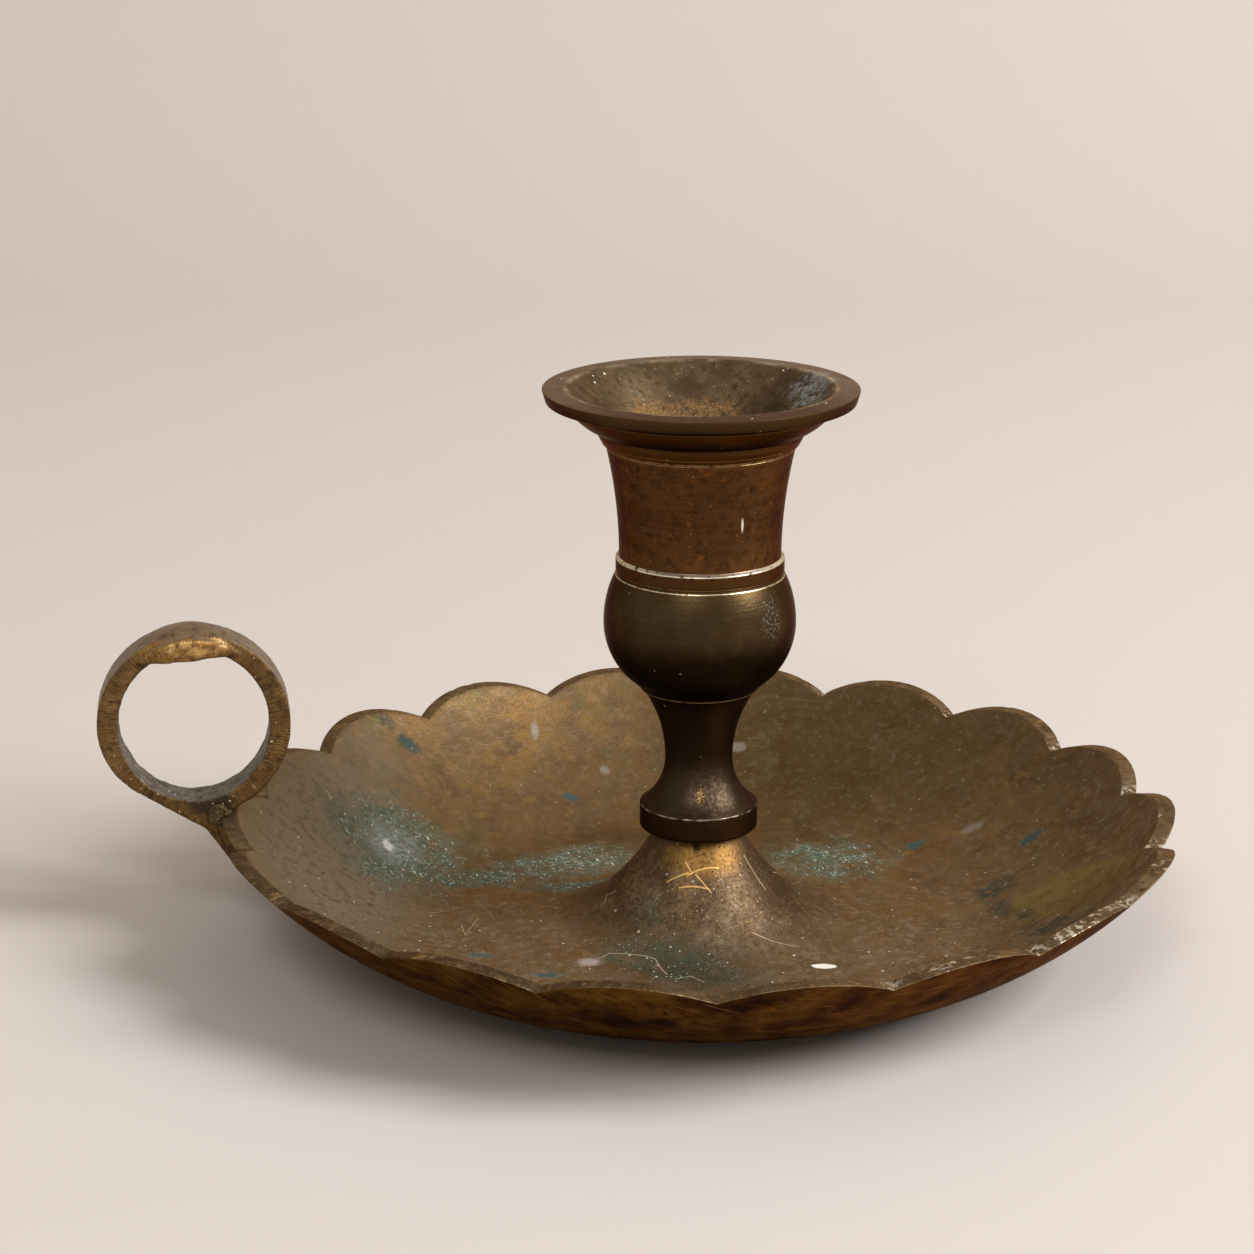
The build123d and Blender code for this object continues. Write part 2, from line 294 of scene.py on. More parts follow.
# %% Redraw an outline's arcs
CORNER = math.radians(14)
LONG_RUN = 2.5
STEM_STEP = 0.9 * MM
PAN_STEP = 1.5 * MM


def redraw(points, closed, step):
    """Turn the short straight runs of an outline into smooth curves."""
    count = len(points)
    runs = [points[(i + 1) % count] - points[i] for i in range(count)]
    leaving, arriving = [], []
    for i in range(count):
        before, after = runs[i - 1], runs[i]
        is_end = not closed and i in (0, count - 1)
        if is_end or before.angle(after) > CORNER:
            arriving.append(before.normalized())
            leaving.append(after.normalized())
            continue
        if before.length > LONG_RUN * after.length:
            tangent = before.normalized()
        elif after.length > LONG_RUN * before.length:
            tangent = after.normalized()
        else:
            tangent = before.normalized() * after.length + after.normalized() * before.length
        arriving.append(tangent.normalized())
        leaving.append(tangent.normalized())
    drawn, corners = [], []
    for i in range(count if closed else count - 1):
        a, b = points[i], points[(i + 1) % count]
        if leaving[i].angle(arriving[i]) > CORNER:
            corners.append(a)
        reach = (b - a).length
        parts = max(1, math.ceil(reach / step))
        for k in range(parts):
            t = k / parts
            drawn.append(
                a * (2 * t**3 - 3 * t**2 + 1)
                + leaving[i] * reach * (t**3 - 2 * t**2 + t)
                + b * (3 * t**2 - 2 * t**3)
                + arriving[(i + 1) % count] * reach * (t**3 - t**2)
            )
    if not closed:
        drawn.append(points[-1])
    return drawn, corners


stem_outline, stem_corners = redraw(stem_points, stem_closed, STEM_STEP)
pan_outline, pan_corners = redraw(pan_points, pan_closed, PAN_STEP)
print("redrawn points: stem", len(stem_outline), "and pan", len(pan_outline))

# %% [markdown]
# ## Spinning an outline
# Worn metal has no razor edges. The corners of the outline are beveled while it
# is still a wire, and the wire is then spun about the axis. Spin gives even
# quads, which take dents and bumps better than the triangles of CAD.

# %% Spin a beveled outline
STEM_ROUNDING = 0.10 * MM
ROUNDING_SEGMENTS = 3
STEM_STEPS = 144


def spin_outline(name, points, closed, corners, rounding, steps):
    """Bevel an outline's corners and spin it about the Z axis into a smooth shell."""
    mesh = bpy.data.meshes.new(name)
    count = len(points)
    edges = [(i, (i + 1) % count) for i in range(count if closed else count - 1)]
    mesh.from_pydata([(p.x, 0, p.y) for p in points], edges, [])
    piece = bpy.data.objects.new(name, mesh)
    bpy.context.scene.collection.objects.link(piece)
    for vertex in mesh.vertices:
        place = Vector((vertex.co.x, vertex.co.z))
        vertex.select = any((place - corner).length < WELD for corner in corners)
    for edge in mesh.edges:
        edge.select = False
    select_only(piece)
    bpy.ops.object.mode_set(mode="EDIT")
    bpy.ops.mesh.bevel(
        affect="VERTICES", offset=rounding, segments=ROUNDING_SEGMENTS, clamp_overlap=True
    )
    bpy.ops.mesh.select_all(action="SELECT")
    bpy.ops.mesh.spin(
        steps=steps, angle=2 * math.pi, center=(0, 0, 0), axis=(0, 0, 1), use_auto_merge=True
    )
    bpy.ops.mesh.select_all(action="SELECT")
    bpy.ops.mesh.remove_doubles(threshold=WELD)
    bpy.ops.mesh.normals_make_consistent(inside=False)
    bpy.ops.mesh.faces_shade_smooth()
    bpy.ops.object.mode_set(mode="OBJECT")
    return piece


stem = spin_outline(
    "turned_stem", stem_outline, stem_closed, stem_corners, STEM_ROUNDING, STEM_STEPS
)
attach(stem, "root")
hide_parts("candle_stem")
print("stem:", len(stem.data.polygons), "faces,", len(stem_corners), "rounded corners")

# %% [markdown]
# ## The scalloped pan
# The pan is spun like the stem. Then its rim is cut down between the scallops:
# every point near the rim slides down along the bowl's side by as much as the
# scallop has dropped at its angle, so the wall keeps its thickness. The two
# sides of the wall are read from the outline, from each corner of the rim down.

# %% Spin the pan and measure its wall
PAN_ROUNDING = 0.28 * MM
SCALLOPS = 18
STEPS_PER_SCALLOP = 24
RIM_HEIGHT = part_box("drip_pan")[1].z
PAN_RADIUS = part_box("drip_pan")[1].x
SIDE_START = 9.0 * MM
WALL_STEP = 0.3 * MM

pan = spin_outline(
    "scalloped_pan", pan_outline, pan_closed, pan_corners, PAN_ROUNDING, STEPS_PER_SCALLOP * SCALLOPS
)
rim = [p for p in pan_points if abs(p.y - RIM_HEIGHT) < WELD]
inner_rim, outer_rim = min(p.x for p in rim), max(p.x for p in rim)


def wall_line(corner_radius):
    """Follow the outline down from a rim corner, as (heights, radii) arrays."""
    count = len(pan_points)
    corner = Vector((corner_radius, RIM_HEIGHT))
    start = min(range(count), key=lambda i: (pan_points[i] - corner).length)
    way = 1 if pan_points[(start + 1) % count].y < RIM_HEIGHT - WELD else -1
    line = [pan_points[start]]
    while line[-1].y > SIDE_START / 2 and len(line) < count:
        line.append(pan_points[(start + way * len(line)) % count])
    smooth, _ = redraw(line, False, WALL_STEP)
    smooth = sorted(smooth, key=lambda p: p.y)
    return np.array([p.y for p in smooth]), np.array([p.x for p in smooth])


inner_wall, outer_wall = wall_line(inner_rim), wall_line(outer_rim)


def wall_at(height):
    """Inner and outer radius of the bowl's wall at a height."""
    return np.interp(height, *inner_wall), np.interp(height, *outer_wall)


print("rim in mm: from", round(inner_rim / MM, 2), "to", round(outer_rim / MM, 2))

# %% [markdown]
# ## Filing the scallops
# A file made the scallops by hand, so no two have quite the same depth, and it
# left small marks along the rim. Each scallop is an arc between two notches.

# %% File the scallops
SCALLOP_DEPTH = 3.3 * MM
UNEVEN_DEPTH = 0.25 * MM
NICK_DEPTH = 0.16 * MM
NICKS_PER_RADIAN = 160
NICK_LEVEL = 0.1
BOWL_SHARE = 0.8  # the bowl's side lies outside this share of the rim's radius

random.seed(7)
half_pitch = math.pi / SCALLOPS
arch_half = outer_rim * math.sin(half_pitch)
arch_radius = (arch_half**2 + SCALLOP_DEPTH**2) / (2 * SCALLOP_DEPTH)
depth_errors = [random.uniform(-1, 1) * UNEVEN_DEPTH for _ in range(SCALLOPS)]


def rim_drop(radius, angle):
    """How far the rim lies below the top of a scallop, at a place on it."""
    turns = angle / (2 * half_pitch)
    scallop = round(turns)
    side = radius * math.sin((turns - scallop) * 2 * half_pitch)
    drop = arch_radius - math.sqrt(max(arch_radius**2 - side**2, 0))
    share = drop / SCALLOP_DEPTH
    here = depth_errors[scallop % SCALLOPS]
    beside = depth_errors[(scallop + (1 if turns > scallop else -1)) % SCALLOPS]
    drop += share * (here + beside) / 2
    chatter = noise.noise(Vector((angle * NICKS_PER_RADIAN, 0, 0)))
    return drop + max(0.0, chatter - NICK_LEVEL) * NICK_DEPTH


for vertex in pan.data.vertices:
    radius, height = math.hypot(vertex.co.x, vertex.co.y), vertex.co.z
    if height < SIDE_START or radius < inner_rim * BOWL_SHARE:
        continue
    angle = math.atan2(vertex.co.y, vertex.co.x)
    low, high = wall_at(height)
    through = (radius - low) / (high - low)
    height -= rim_drop(radius, angle) * (height - SIDE_START) / (RIM_HEIGHT - SIDE_START)
    low, high = wall_at(height)
    radius = low + through * (high - low)
    vertex.co = (radius * math.cos(angle), radius * math.sin(angle), height)

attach(pan, "root")
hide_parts("drip_pan")
worst = max(abs(error) for error in depth_errors)
print("pan:", len(pan.data.polygons), "faces, scallops uneven by", round(worst / MM, 2), "mm")

# %% [markdown]
# ## The finger ring
# The ring is a rough casting that was filed flat on both sides. A copy of the
# CAD ring is remeshed into small even faces, which rounds its edges, and then
# noise pushes them in and out by a few hundredths of a millimetre, more on the
# inside of the ring, which nobody filed.

# %% Remesh and roughen the ring
RING_VOXEL = 0.28 * MM
RING_LUMPS = 2.2 * MM
RING_ROUGHNESS = 0.14 * MM
FILED_ROUGHNESS = 0.35  # share of it that the filed faces keep
FINER_LUMPS = 2.7  # how many times smaller the second layer of lumps is
FACES_INWARD = 0.6
RING_HEIGHT = 36.3 * MM
RING_REACH = 3.8 * MM
RING_TURN = math.radians(7)

ring_along = Vector((math.cos(RING_TURN), math.sin(RING_TURN), 0))
ring_side = Vector((-math.sin(RING_TURN), math.cos(RING_TURN), 0))
ring_centre = Vector((-PAN_RADIUS, 0, RING_HEIGHT)) - RING_REACH * ring_along


def apply_modifier(piece, kind, **settings):
    """Add a modifier to a piece and apply it at once."""
    select_only(piece)
    modifier = piece.modifiers.new(kind.lower(), kind)
    for name, value in settings.items():
        setattr(modifier, name, value)
    bpy.ops.object.modifier_apply(modifier=modifier.name)


def roughen(piece, size, depth, share=lambda place, normal: 1.0):
    """Push each vertex along its normal by noise of one size and depth."""
    normals = [v.normal.copy() for v in piece.data.vertices]
    for vertex, normal in zip(piece.data.vertices, normals):
        swing = noise.noise(vertex.co / size) + 0.5 * noise.noise(vertex.co / (size / FINER_LUMPS))
        vertex.co += normal * swing * depth * share(vertex.co, normal)


def inward_from(place):
    """Direction from a place towards the middle of the ring, in the ring's plane."""
    inward = ring_centre - place
    return inward - ring_side * inward.dot(ring_side)


def inside_share(place, normal):
    """Full roughness on the ring's inner side, a third elsewhere."""
    is_inside = normal.dot(inward_from(place).normalized()) > FACES_INWARD
    return 1.0 if is_inside else FILED_ROUGHNESS


ring = copy_of("finger_ring", "cast_finger_ring")
apply_modifier(ring, "REMESH", mode="VOXEL", voxel_size=RING_VOXEL, use_smooth_shade=True)
apply_modifier(ring, "SMOOTH", factor=0.5, iterations=2)
roughen(ring, RING_LUMPS, RING_ROUGHNESS, inside_share)
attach(ring, "root")
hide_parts("finger_ring")
print("ring:", len(ring.data.polygons), "faces")

# %% [markdown]
# ## The braze
# Filler metal froze in lumps where the ring's foot meets the rim. A few small
# balls are joined with a copy of the CAD bead, remeshed to one skin and
# roughened.

# %% Build the lumpy braze
BRAZE_VOXEL = 0.16 * MM
BRAZE_LUMPS = 1.1 * MM
BRAZE_ROUGHNESS = 0.22 * MM
BRAZE_BALLS = 9
BALL_RADIUS = 0.45 * MM
BALL_SHARES = (0.8, 1.6)

braze = copy_of("braze_bead", "braze_lumps")
braze_low, braze_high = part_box("braze_bead")
edit(braze)
for k in range(BRAZE_BALLS):
    radius = BALL_RADIUS * random.uniform(*BALL_SHARES)
    room = [random.uniform(braze_low[i] + radius, braze_high[i] - radius) for i in range(3)]
    room[1] = (braze_low.y + radius) if k % 3 else (braze_high.y - radius)
    bpy.ops.mesh.primitive_ico_sphere_add(subdivisions=3, radius=radius, location=room)
bpy.ops.object.mode_set(mode="OBJECT")
apply_modifier(braze, "REMESH", mode="VOXEL", voxel_size=BRAZE_VOXEL, use_smooth_shade=True)
apply_modifier(braze, "SMOOTH", factor=0.5, iterations=3)
roughen(braze, BRAZE_LUMPS, BRAZE_ROUGHNESS)
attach(braze, "root")
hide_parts("braze_bead")
print("braze:", len(braze.data.polygons), "faces")

# %% [markdown]
# ## Patterns that repeat
# Old brass is never one colour. Its look is built from masks, which are patterns
# that run from 0 to 1. These are sized in millimetres on the object's own
# coordinates: soft blotches of tarnish, round specks, and fine scratches.


# %% Blotches, specks and scratches
def both(*masks):
    """Multiply masks, so that only places inside all of them count."""
    result = masks[0]
    for mask in masks[1:]:
        result = add_node(mask, "Math", {0: result, 1: mask}, operation="MULTIPLY")
    return result


def either(*masks):
    """The largest of several masks."""
    result = masks[0]
    for mask in masks[1:]:
        result = add_node(mask, "Math", {0: result, 1: mask}, operation="MAXIMUM")
    return result


def millimetres(shader):
    """The object's own coordinates, in millimetres."""
    place = add_node(shader, "TexCoord").outputs["Object"]
    return add_node(shader, "VectorMath", {0: place, "Scale": 1 / MM}, operation="SCALE")


def local_place(place, centre=(0, 0, 0), sizes=(1, 1, 1), turn=0.0):
    """Coordinates seen from a centre, turned about Z and measured in given sizes."""
    view = {"Vector": place, "Location": centre, "Rotation": (0, 0, turn), "Scale": sizes}
    return add_node(place, "Mapping", view, vector_type="TEXTURE")


def blotches(place, size, low, high, detail=3.0):
    """Soft blotches of one size: 0 where the noise is below low, 1 above high."""
    grain = {"Vector": place, "Scale": 1 / size, "Detail": detail, "Roughness": 0.6}
    value = add_node(place, "TexNoise", grain)
    limits = {"Value": value, "From Min": low, "From Max": high}
    return add_node(place, "MapRange", limits)


def specks(place, spacing, size, share):
    """Scattered round specks of uneven size; a share of the cells hold one."""
    cells = add_node(place, "TexVoronoi", {"Vector": place, "Scale": 1 / spacing}).outputs
    chance = add_node(place, "SeparateColor", {"Color": cells["Color"]}).outputs
    sizes = {0: chance[1], 1: size / spacing, 2: 0.3 * size / spacing}
    reach = add_node(place, "Math", sizes, operation="MULTIPLY_ADD")
    near = add_node(place, "Math", {0: cells["Distance"], 1: reach}, operation="LESS_THAN")
    held = add_node(place, "Math", {0: chance[0], 1: share}, operation="LESS_THAN")
    return both(near, held)


def scratches(place, length, width, turn, low, high):
    """Fine straight scratches in about one direction, sparser as low rises."""
    return blotches(local_place(place, (0, 0, 0), (length, width, length), turn), 1.0, low, high, 0.0)


print("patterns that repeat: blotches, specks, scratches")

# %% [markdown]
# ## Patterns that have a place
# A stain lies in one place, a scratch runs from one point to another, a worn
# line goes round at one height, and one side of the pan is dirtier than the
# other. These functions put a mask where the photograph shows such a mark.

# %% Stains, strokes, bands and slopes
STAIN_DEPTH = 12.0  # half height of a flat stain, more than the bowl rises under it


def stain(place, centre, sizes, turn=0.0, ragged=0.5, grain=3.0, fade=0.3):
    """One stain: an ellipse of given half sizes whose edge wanders and fades."""
    local = local_place(place, centre, sizes, turn)
    reach = add_node(place, "VectorMath", {0: local}, operation="LENGTH").outputs["Value"]
    edge = add_node(place, "TexNoise", {"Vector": place, "Scale": 1 / grain, "Detail": 4.0})
    swing = {0: edge, 1: 2 * ragged, 2: -ragged}
    wander = add_node(place, "Math", swing, operation="MULTIPLY_ADD")
    total = add_node(place, "Math", {0: reach, 1: wander}, operation="ADD")
    limits = {"Value": total, "From Min": 1 + fade, "From Max": 1 - fade}
    return add_node(place, "MapRange", limits, interpolation_type="SMOOTHSTEP")


def named_stains(place, table):
    """The stains of a table, each under its name."""
    return {name: stain(place, *values) for name, values in table.items()}


def stains(place, rows, height, **edge):
    """Several stains at one height, from rows of x, y, half sizes and perhaps a turn."""
    return either(
        *[
            stain(place, (x, y, height), (long, wide, STAIN_DEPTH), *turn, **edge)
            for x, y, long, wide, *turn in rows
        ]
    )


def strokes(place, lines, width):
    """Thin lines seen from above, each through a list of (x, y) corners."""
    flat = add_node(place, "VectorMath", {0: place, 1: (1, 1, 0)}, operation="MULTIPLY")
    masks = []
    for start, end in [pair for corners in lines for pair in zip(corners, corners[1:])]:
        start, end = Vector((*start, 0)), Vector((*end, 0))
        along = end - start
        offset = add_node(flat, "VectorMath", {0: flat, 1: start}, operation="SUBTRACT")
        step = {0: offset, 1: along / along.length_squared}
        share = add_node(flat, "VectorMath", step, operation="DOT_PRODUCT").outputs["Value"]
        held = add_node(flat, "Clamp", {0: share})
        nearest = add_node(flat, "VectorMath", {0: along, "Scale": held}, operation="SCALE")
        gap = {0: offset, 1: nearest}
        reach = add_node(flat, "VectorMath", gap, operation="DISTANCE").outputs["Value"]
        limits = {"Value": reach, "From Min": 0.65 * width, "From Max": 0.35 * width}
        masks.append(add_node(flat, "MapRange", limits))
    return either(*masks)


def between(value, low, high, soft):
    """1 where a value lies between low and high, fading over soft at both ends."""
    rise = {"Value": value, "From Min": low - soft, "From Max": low + soft}
    fall = {"Value": value, "From Min": high + soft, "From Max": high - soft}
    return both(*[add_node(value, "MapRange", side) for side in (rise, fall)])


def named_bands(value, table):
    """The bands of a table, each under its name."""
    return {name: between(value, *limits) for name, limits in table.items()}


def slope(place, axis, start, end, least=0.0, most=1.0, curve="LINEAR"):
    """A mask that goes along an axis from least at start to most at end."""
    value = add_node(place, "SeparateXYZ", {0: place}).outputs[axis]
    limits = {"Value": value, "From Min": start, "From Max": end, "To Min": least, "To Max": most}
    return add_node(place, "MapRange", limits, interpolation_type=curve)


def polar(place, centre=(0, 0, 0), axis="Z", turn=0.0):
    """Distance from an axis and the angle round it, as two values."""
    turned = local_place(place, centre, turn=turn)
    parts = add_node(place, "SeparateXYZ", {0: turned}).outputs
    first, second = parts[0], parts[1 if axis == "Z" else 2]
    flat = add_node(place, "CombineXYZ", {0: first, 1: second})
    radius = add_node(place, "VectorMath", {0: flat}, operation="LENGTH").outputs["Value"]
    angle = add_node(place, "Math", {0: second, 1: first}, operation="ARCTAN2")
    return radius, angle


def flat_grid(first, first_times, second, second_times):
    """Flat coordinates from two values, each multiplied by its own number."""
    sides = [
        add_node(value, "Math", {0: value, 1: times}, operation="MULTIPLY")
        for value, times in ((first, first_times), (second, second_times))
    ]
    return add_node(first, "CombineXYZ", {0: sides[0], 1: sides[1]})


print("patterns with a place: stains, strokes, bands, slopes, rings")

# %% [markdown]
# ## Coats and relief
# Colours are laid over each other through masks, like coats of paint, and
# roughness is built the same way from numbers. A recipe makes them for one
# metal, with the masks that raise or sink its surface a little.


# %% Lay coats and make a metal
def paint(place, ground, coats):
    """Lay coats over a ground, each a row that ends with a hex colour or a number.

    A row begins with the coat's masks. Numbers between them and the colour are
    the size, low, high and perhaps detail of blotches that break the coat up.
    """
    is_colour = isinstance(coats[0][-1], str)
    slots, kind, result = ((0, 6, 7), "RGBA", 2) if is_colour else ((0, 2, 3), "FLOAT", 0)
    if isinstance(ground, str):
        ground = srgb(ground)
    for *masks, coat in coats:
        numbers = [part for part in masks if isinstance(part, float)]
        masks = [part for part in masks if not isinstance(part, float)]
        if numbers:
            masks.append(blotches(place, *numbers))
        layers = (both(*masks), ground, srgb(coat) if is_colour else coat)
        mix = add_node(place, "Mix", dict(zip(slots, layers)), data_type=kind)
        ground = mix.outputs[result]
    return ground


def metal(name, recipe, *details, tint="FFFFFF"):
    """Make a metal; its recipe gives colour, metallic, roughness and relief in mm."""
    material, shader = new_material(name)
    colour, metallic, roughness, relief = recipe(millimetres(shader), *details)
    height = 0.0
    for mask, depth in relief:
        layer = {0: mask, 1: depth, 2: height}
        height = add_node(shader, "Math", layer, operation="MULTIPLY_ADD")
    look = {
        "Base Color": colour,
        "Metallic": metallic,
        "Specular Tint": srgb(tint),
        "Roughness": roughness,
        "Normal": add_node(shader, "Bump", {"Height": height, "Distance": MM, "Strength": 1.0}),
    }
    feed(shader, look)
    return material


print("coats and metals can be made")

# %% [markdown]
# ## Inside of the pan: patina and wear
# Cast brass that was turned smooth and then handled for generations: a brown to
# olive patina, wiped thin on the high places, with faint rings from the lathe.
# The left wall is painted paler and greyer, as painted light where it faces the lamp;
# the near side has a painted sheen with dust on it, and the right wall and the back
# on the right are painted darker, as painted shade. Places are in millimetres from
# the middle of the base.

# %% Paint the pan's patina
LATHE_PITCH = 0.45
BOSS_BAND = (-1.0, 19.0, 5.0)  # inner and outer radius, and how softly it ends
# painted shade on the right wall, which faces away from the window lamp
DARK_RIGHT = ("X", 46.0, 76.0, 0.0, 0.65, "SMOOTHSTEP")
PAN_STAINS = {
    # centre, half sizes, turn, raggedness, grain of the edge, fade
    # left wall: painted light, paler and greyer where the wall faces the lamp
    "left wall": ((-62.0, 6.0, 10.0), (16.0, 36.0, 14.0), 0.0, 0.3, 8.0, 0.5),
    # back right: painted shade on the back wall at the right
    "back right": ((28.0, 62.0, 12.0), (32.0, 22.0, 20.0), -0.4, 0.4, 9.0, 0.5),
}


def pan_patina(place, near, fine, rings_place, rings):
    """Brown to olive patina: calm large patches that still look like one metal."""
    radius, _ = polar(place)
    left_wall, back_right = named_stains(place, PAN_STAINS).values()
    right_wall = slope(place, *DARK_RIGHT)
    wall_lines = both(left_wall, blotches(rings_place, 0.5, 0.66, 0.76, 1.0))
    boss = between(radius, *BOSS_BAND)
    boss_grain = blotches(place, 0.7, 0.45, 0.62, 4.0)
    return paint(
        place,
        "7A5C36",
        [
            (28.0, 0.40, 0.62, "8A6836"),
            (13.0, 0.46, 0.66, 5.0, "665038"),
            (6.0, 0.52, 0.66, 5.0, "62482C"),
            (9.0, 0.54, 0.68, 5.0, "625A34"),
            (4.0, 0.56, 0.68, 4.0, "94713E"),
            # painted shade: the right wall and the back on the right are painted darker
            (right_wall, "463423"),
            (back_right, "59431F"),
            (fine, 1.8, 0.45, 0.75, "5F4C36"),
            (near, 1.0, 0.50, 0.66, 4.0, "5A4733"),
            (rings, 8.0, 0.45, 0.75, "786444"),
            # paler on the near side: a painted sheen, with pale dust blotches on it
            (near, 5.0, 0.22, 0.66, "86755F"),
            (near, 1.4, 0.52, 0.68, 4.0, "9C8B72"),
            (boss, 4.0, 0.30, 0.6, "5C4832"),
            (boss, boss_grain, near, "44362A"),
            # painted light on the left wall, which faces the lamp: paler and greyer, with pale lathe
            # lines
            (left_wall, "857B68"),
            (left_wall, 1.6, 0.50, 0.68, 4.0, "68604C"),
            (wall_lines, "9A9080"),
        ],
    )


print("stains of the wall:", ", ".join(PAN_STAINS))

# %% [markdown]
# ## Inside of the pan: the boss
# The boss carries the stem and is wiped most. Its front gets a painted golden
# highlight and holds short cuts, as from a knife that scraped off wax. Its sides are
# grainy and dark, with a little verdigris.

# %% Paint the boss
CUT_WIDTH = 0.15
BOSS_STAINS = {
    # the golden patch on the boss front is a painted highlight
    "painted highlight": ((1.4, -8.3, 15.2), (6.8, 5.5, 2.4), 0.0, 0.35, 1.6, 0.55),
    "green": ((-8.2, -11.9, 7.3), (3.0, 2.6, 3.0), 0.0, 0.6, 1.5, 0.6),
    "right": ((10.5, -6.0, 8.0), (6.5, 7.0, 9.0), 0.0, 0.3, 3.0, 0.5),
    "drip": ((-0.6, -7.6, 16.8), (0.6, 2.0, 1.1), 0.0, 0.5, 0.8, 0.4),
}
CUTS = (
    # corners of each line, x and y
    ((-2.3, -8.4), (-1.3, -9.6)),
    ((-2.0, -9.7), (3.0, -8.8)),
    ((-0.7, -9.8), (1.7, -11.5)),
    ((-3.4, -10.7), (1.4, -11.2)),
    ((-5.4, -9.4), (-1.9, -9.5)),
)


def paint_boss(colour, place, near):
    """Coats of the boss: a painted golden highlight on its front, grainy brown around; and its grain.
    """
    radius, _ = polar(place)
    front = both(between(radius, *BOSS_BAND), near)
    dark_grain = both(front, specks(place, 0.62, 0.13, 0.55))
    gold_grain = both(front, specks(place, 0.8, 0.13, 0.5))
    spot = named_stains(place, BOSS_STAINS)
    coats = [
        # painted golden highlight on the boss front
        (spot["painted highlight"], "8E6A38"),
        (spot["painted highlight"], 0.7, 0.52, 0.66, "5A4326"),
        (spot["green"], 1.0, 0.42, 0.66, "565A44"),
        (spot["right"], 0.6, 0.30, 0.62, 4.0, "4A3A28"),
        (dark_grain, "2E241A"),
        (gold_grain, "B08A52"),
        (strokes(place, CUTS, CUT_WIDTH), "CFA562"),
        (spot["drip"], "3E2E1C"),
    ]
    return paint(place, colour, coats), dark_grain


print("marks on the boss:", len(BOSS_STAINS), "stains and", len(CUTS), "cuts")

# %% [markdown]
# ## Inside of the pan: film and verdigris
# An oily film dried on the right side and gathered dirt along its left edge.
# Water stood on the left, where it left verdigris: a grey green veil, a paler
# crust on it, a whitish heart with a painted glint at its core, and salt flecks in short strokes.

# %% Paint film and verdigris
FILM = ((60.5, -9.0, 9.0), (14.0, 8.0, 14.0), -0.88, 0.35, 5.0, 0.14)
HEART = ((-51.5, 22.0, 6.0), (4.5, 5.0, 6.0), 0.3, 0.7, 1.6, 0.6)
# the white core is a painted glint on the verdigris crust
CORE = ((-52.0, 21.6, 6.4), (0.9, 1.5, 4.0), 0.3, 0.8, 0.7, 0.5)
FILM_EDGES = (
    # centre x, y, half length, half width, turn
    (49.6, 6.5, 3.2, 3.6, 0.0),
    (50.4, -3.4, 8.0, 2.0, -1.25),
    (56.0, -21.5, 7.5, 2.8, -1.07),
)
VERDIGRIS = (
    (-50.5, 21.5, 12.5, 12.0, 0.2),
    (-38.0, 17.5, 9.0, 4.5, -0.1),
    (-21.0, 24.5, 13.0, 7.0, 0.35),
    (-21.0, 13.5, 8.0, 2.2, 0.1),
    (23.5, 26.0, 9.5, 9.0, 0.0),
)
DARK_VERDIGRIS = (
    (-4.0, -22.6, 12.5, 5.0, -0.5),
    (-12.0, -18.6, 4.0, 1.6, 0.0),
)
TURQUOISE = (
    (-53.9, 50.2, 1.9, 1.6),
    (-50.0, 48.5, 2.2, 1.4),
    (-21.2, 49.4, 1.4, 0.9),
    (38.6, 29.7, 1.7, 1.3),
    (56.8, 18.3, 2.2, 1.3),
    (-24.8, -25.3, 3.2, 1.0),
    (-35.2, -16.9, 2.4, 1.2),
    (-53.1, -52.6, 1.5, 1.3),
)


def paint_film(colour, place, stretched):
    """Coats of the film: a smooth greenish sheen with a dirty edge; and its mask."""
    film = stain(place, *FILM)
    edge = both(
        stains(place, FILM_EDGES, 6.0, ragged=0.8, grain=2.5, fade=0.5),
        blotches(place, 1.6, 0.34, 0.62),
    )
    coats = [
        (film, "8E7E58"),
        (film, 3.0, 0.46, 0.68, 5.0, "756646"),
        (edge, "48544C"),
        (edge, specks(stretched, 0.7, 0.13, 0.3), "B4B8AC"),
    ]
    return paint(place, colour, coats), film


def paint_verdigris(colour, place, stretched):
    """Coats of verdigris, dry and chalky beside the metal; and its masks."""
    green = stains(place, VERDIGRIS, 5.0, ragged=0.75, grain=4.5, fade=0.45)
    dark = stains(place, DARK_VERDIGRIS, 3.0, ragged=0.6, grain=3.0, fade=0.35)
    blue = stains(place, TURQUOISE, 8.0, ragged=0.7, grain=1.4, fade=0.4)
    heart = both(stain(place, *HEART), blotches(place, 0.9, 0.36, 0.60, 4.0))
    core = stain(place, *CORE)
    veil = both(green, blotches(place, 4.0, 0.26, 0.62))
    crust = both(green, blotches(place, 0.8, 0.50, 0.66, 4.0), veil)
    fine_salt = both(specks(stretched, 0.42, 0.10, 0.55), blotches(place, 2.0, 0.36, 0.56))
    flecks = both(either(green, heart), either(fine_salt, specks(stretched, 0.9, 0.16, 0.45)))
    fine_dust = both(specks(place, 0.5, 0.10, 0.4), blotches(place, 1.6, 0.4, 0.6))
    dark_flecks = both(dark, either(fine_dust, specks(place, 0.9, 0.14, 0.6)))
    coats = [
        (veil, "5A624E"),
        (veil, 1.8, 0.48, 0.66, 4.0, "48594C"),
        (crust, "909A8A"),
        (dark, 3.0, 0.30, 0.6, "5C6450"),
        (heart, "98A09A"),
        # painted glint at the core of the heart
        (core, "E4E2DC"),
        (blue, "3E4E48"),
    ]
    return paint(place, colour, coats), veil, crust, blue, flecks, dark_flecks, core


print("verdigris:", len(VERDIGRIS) + len(DARK_VERDIGRIS), "patches,", len(TURQUOISE), "spots")

# %% [markdown]
# ## Inside of the pan: small marks
# Last come scratches from cleaning, specks of wax and dust, a wax drop, lint and
# a few hairs. Scratches and hairs are finer than a pixel of the picture, so they
# are drawn about twice as wide as they are, and a little dimmer.

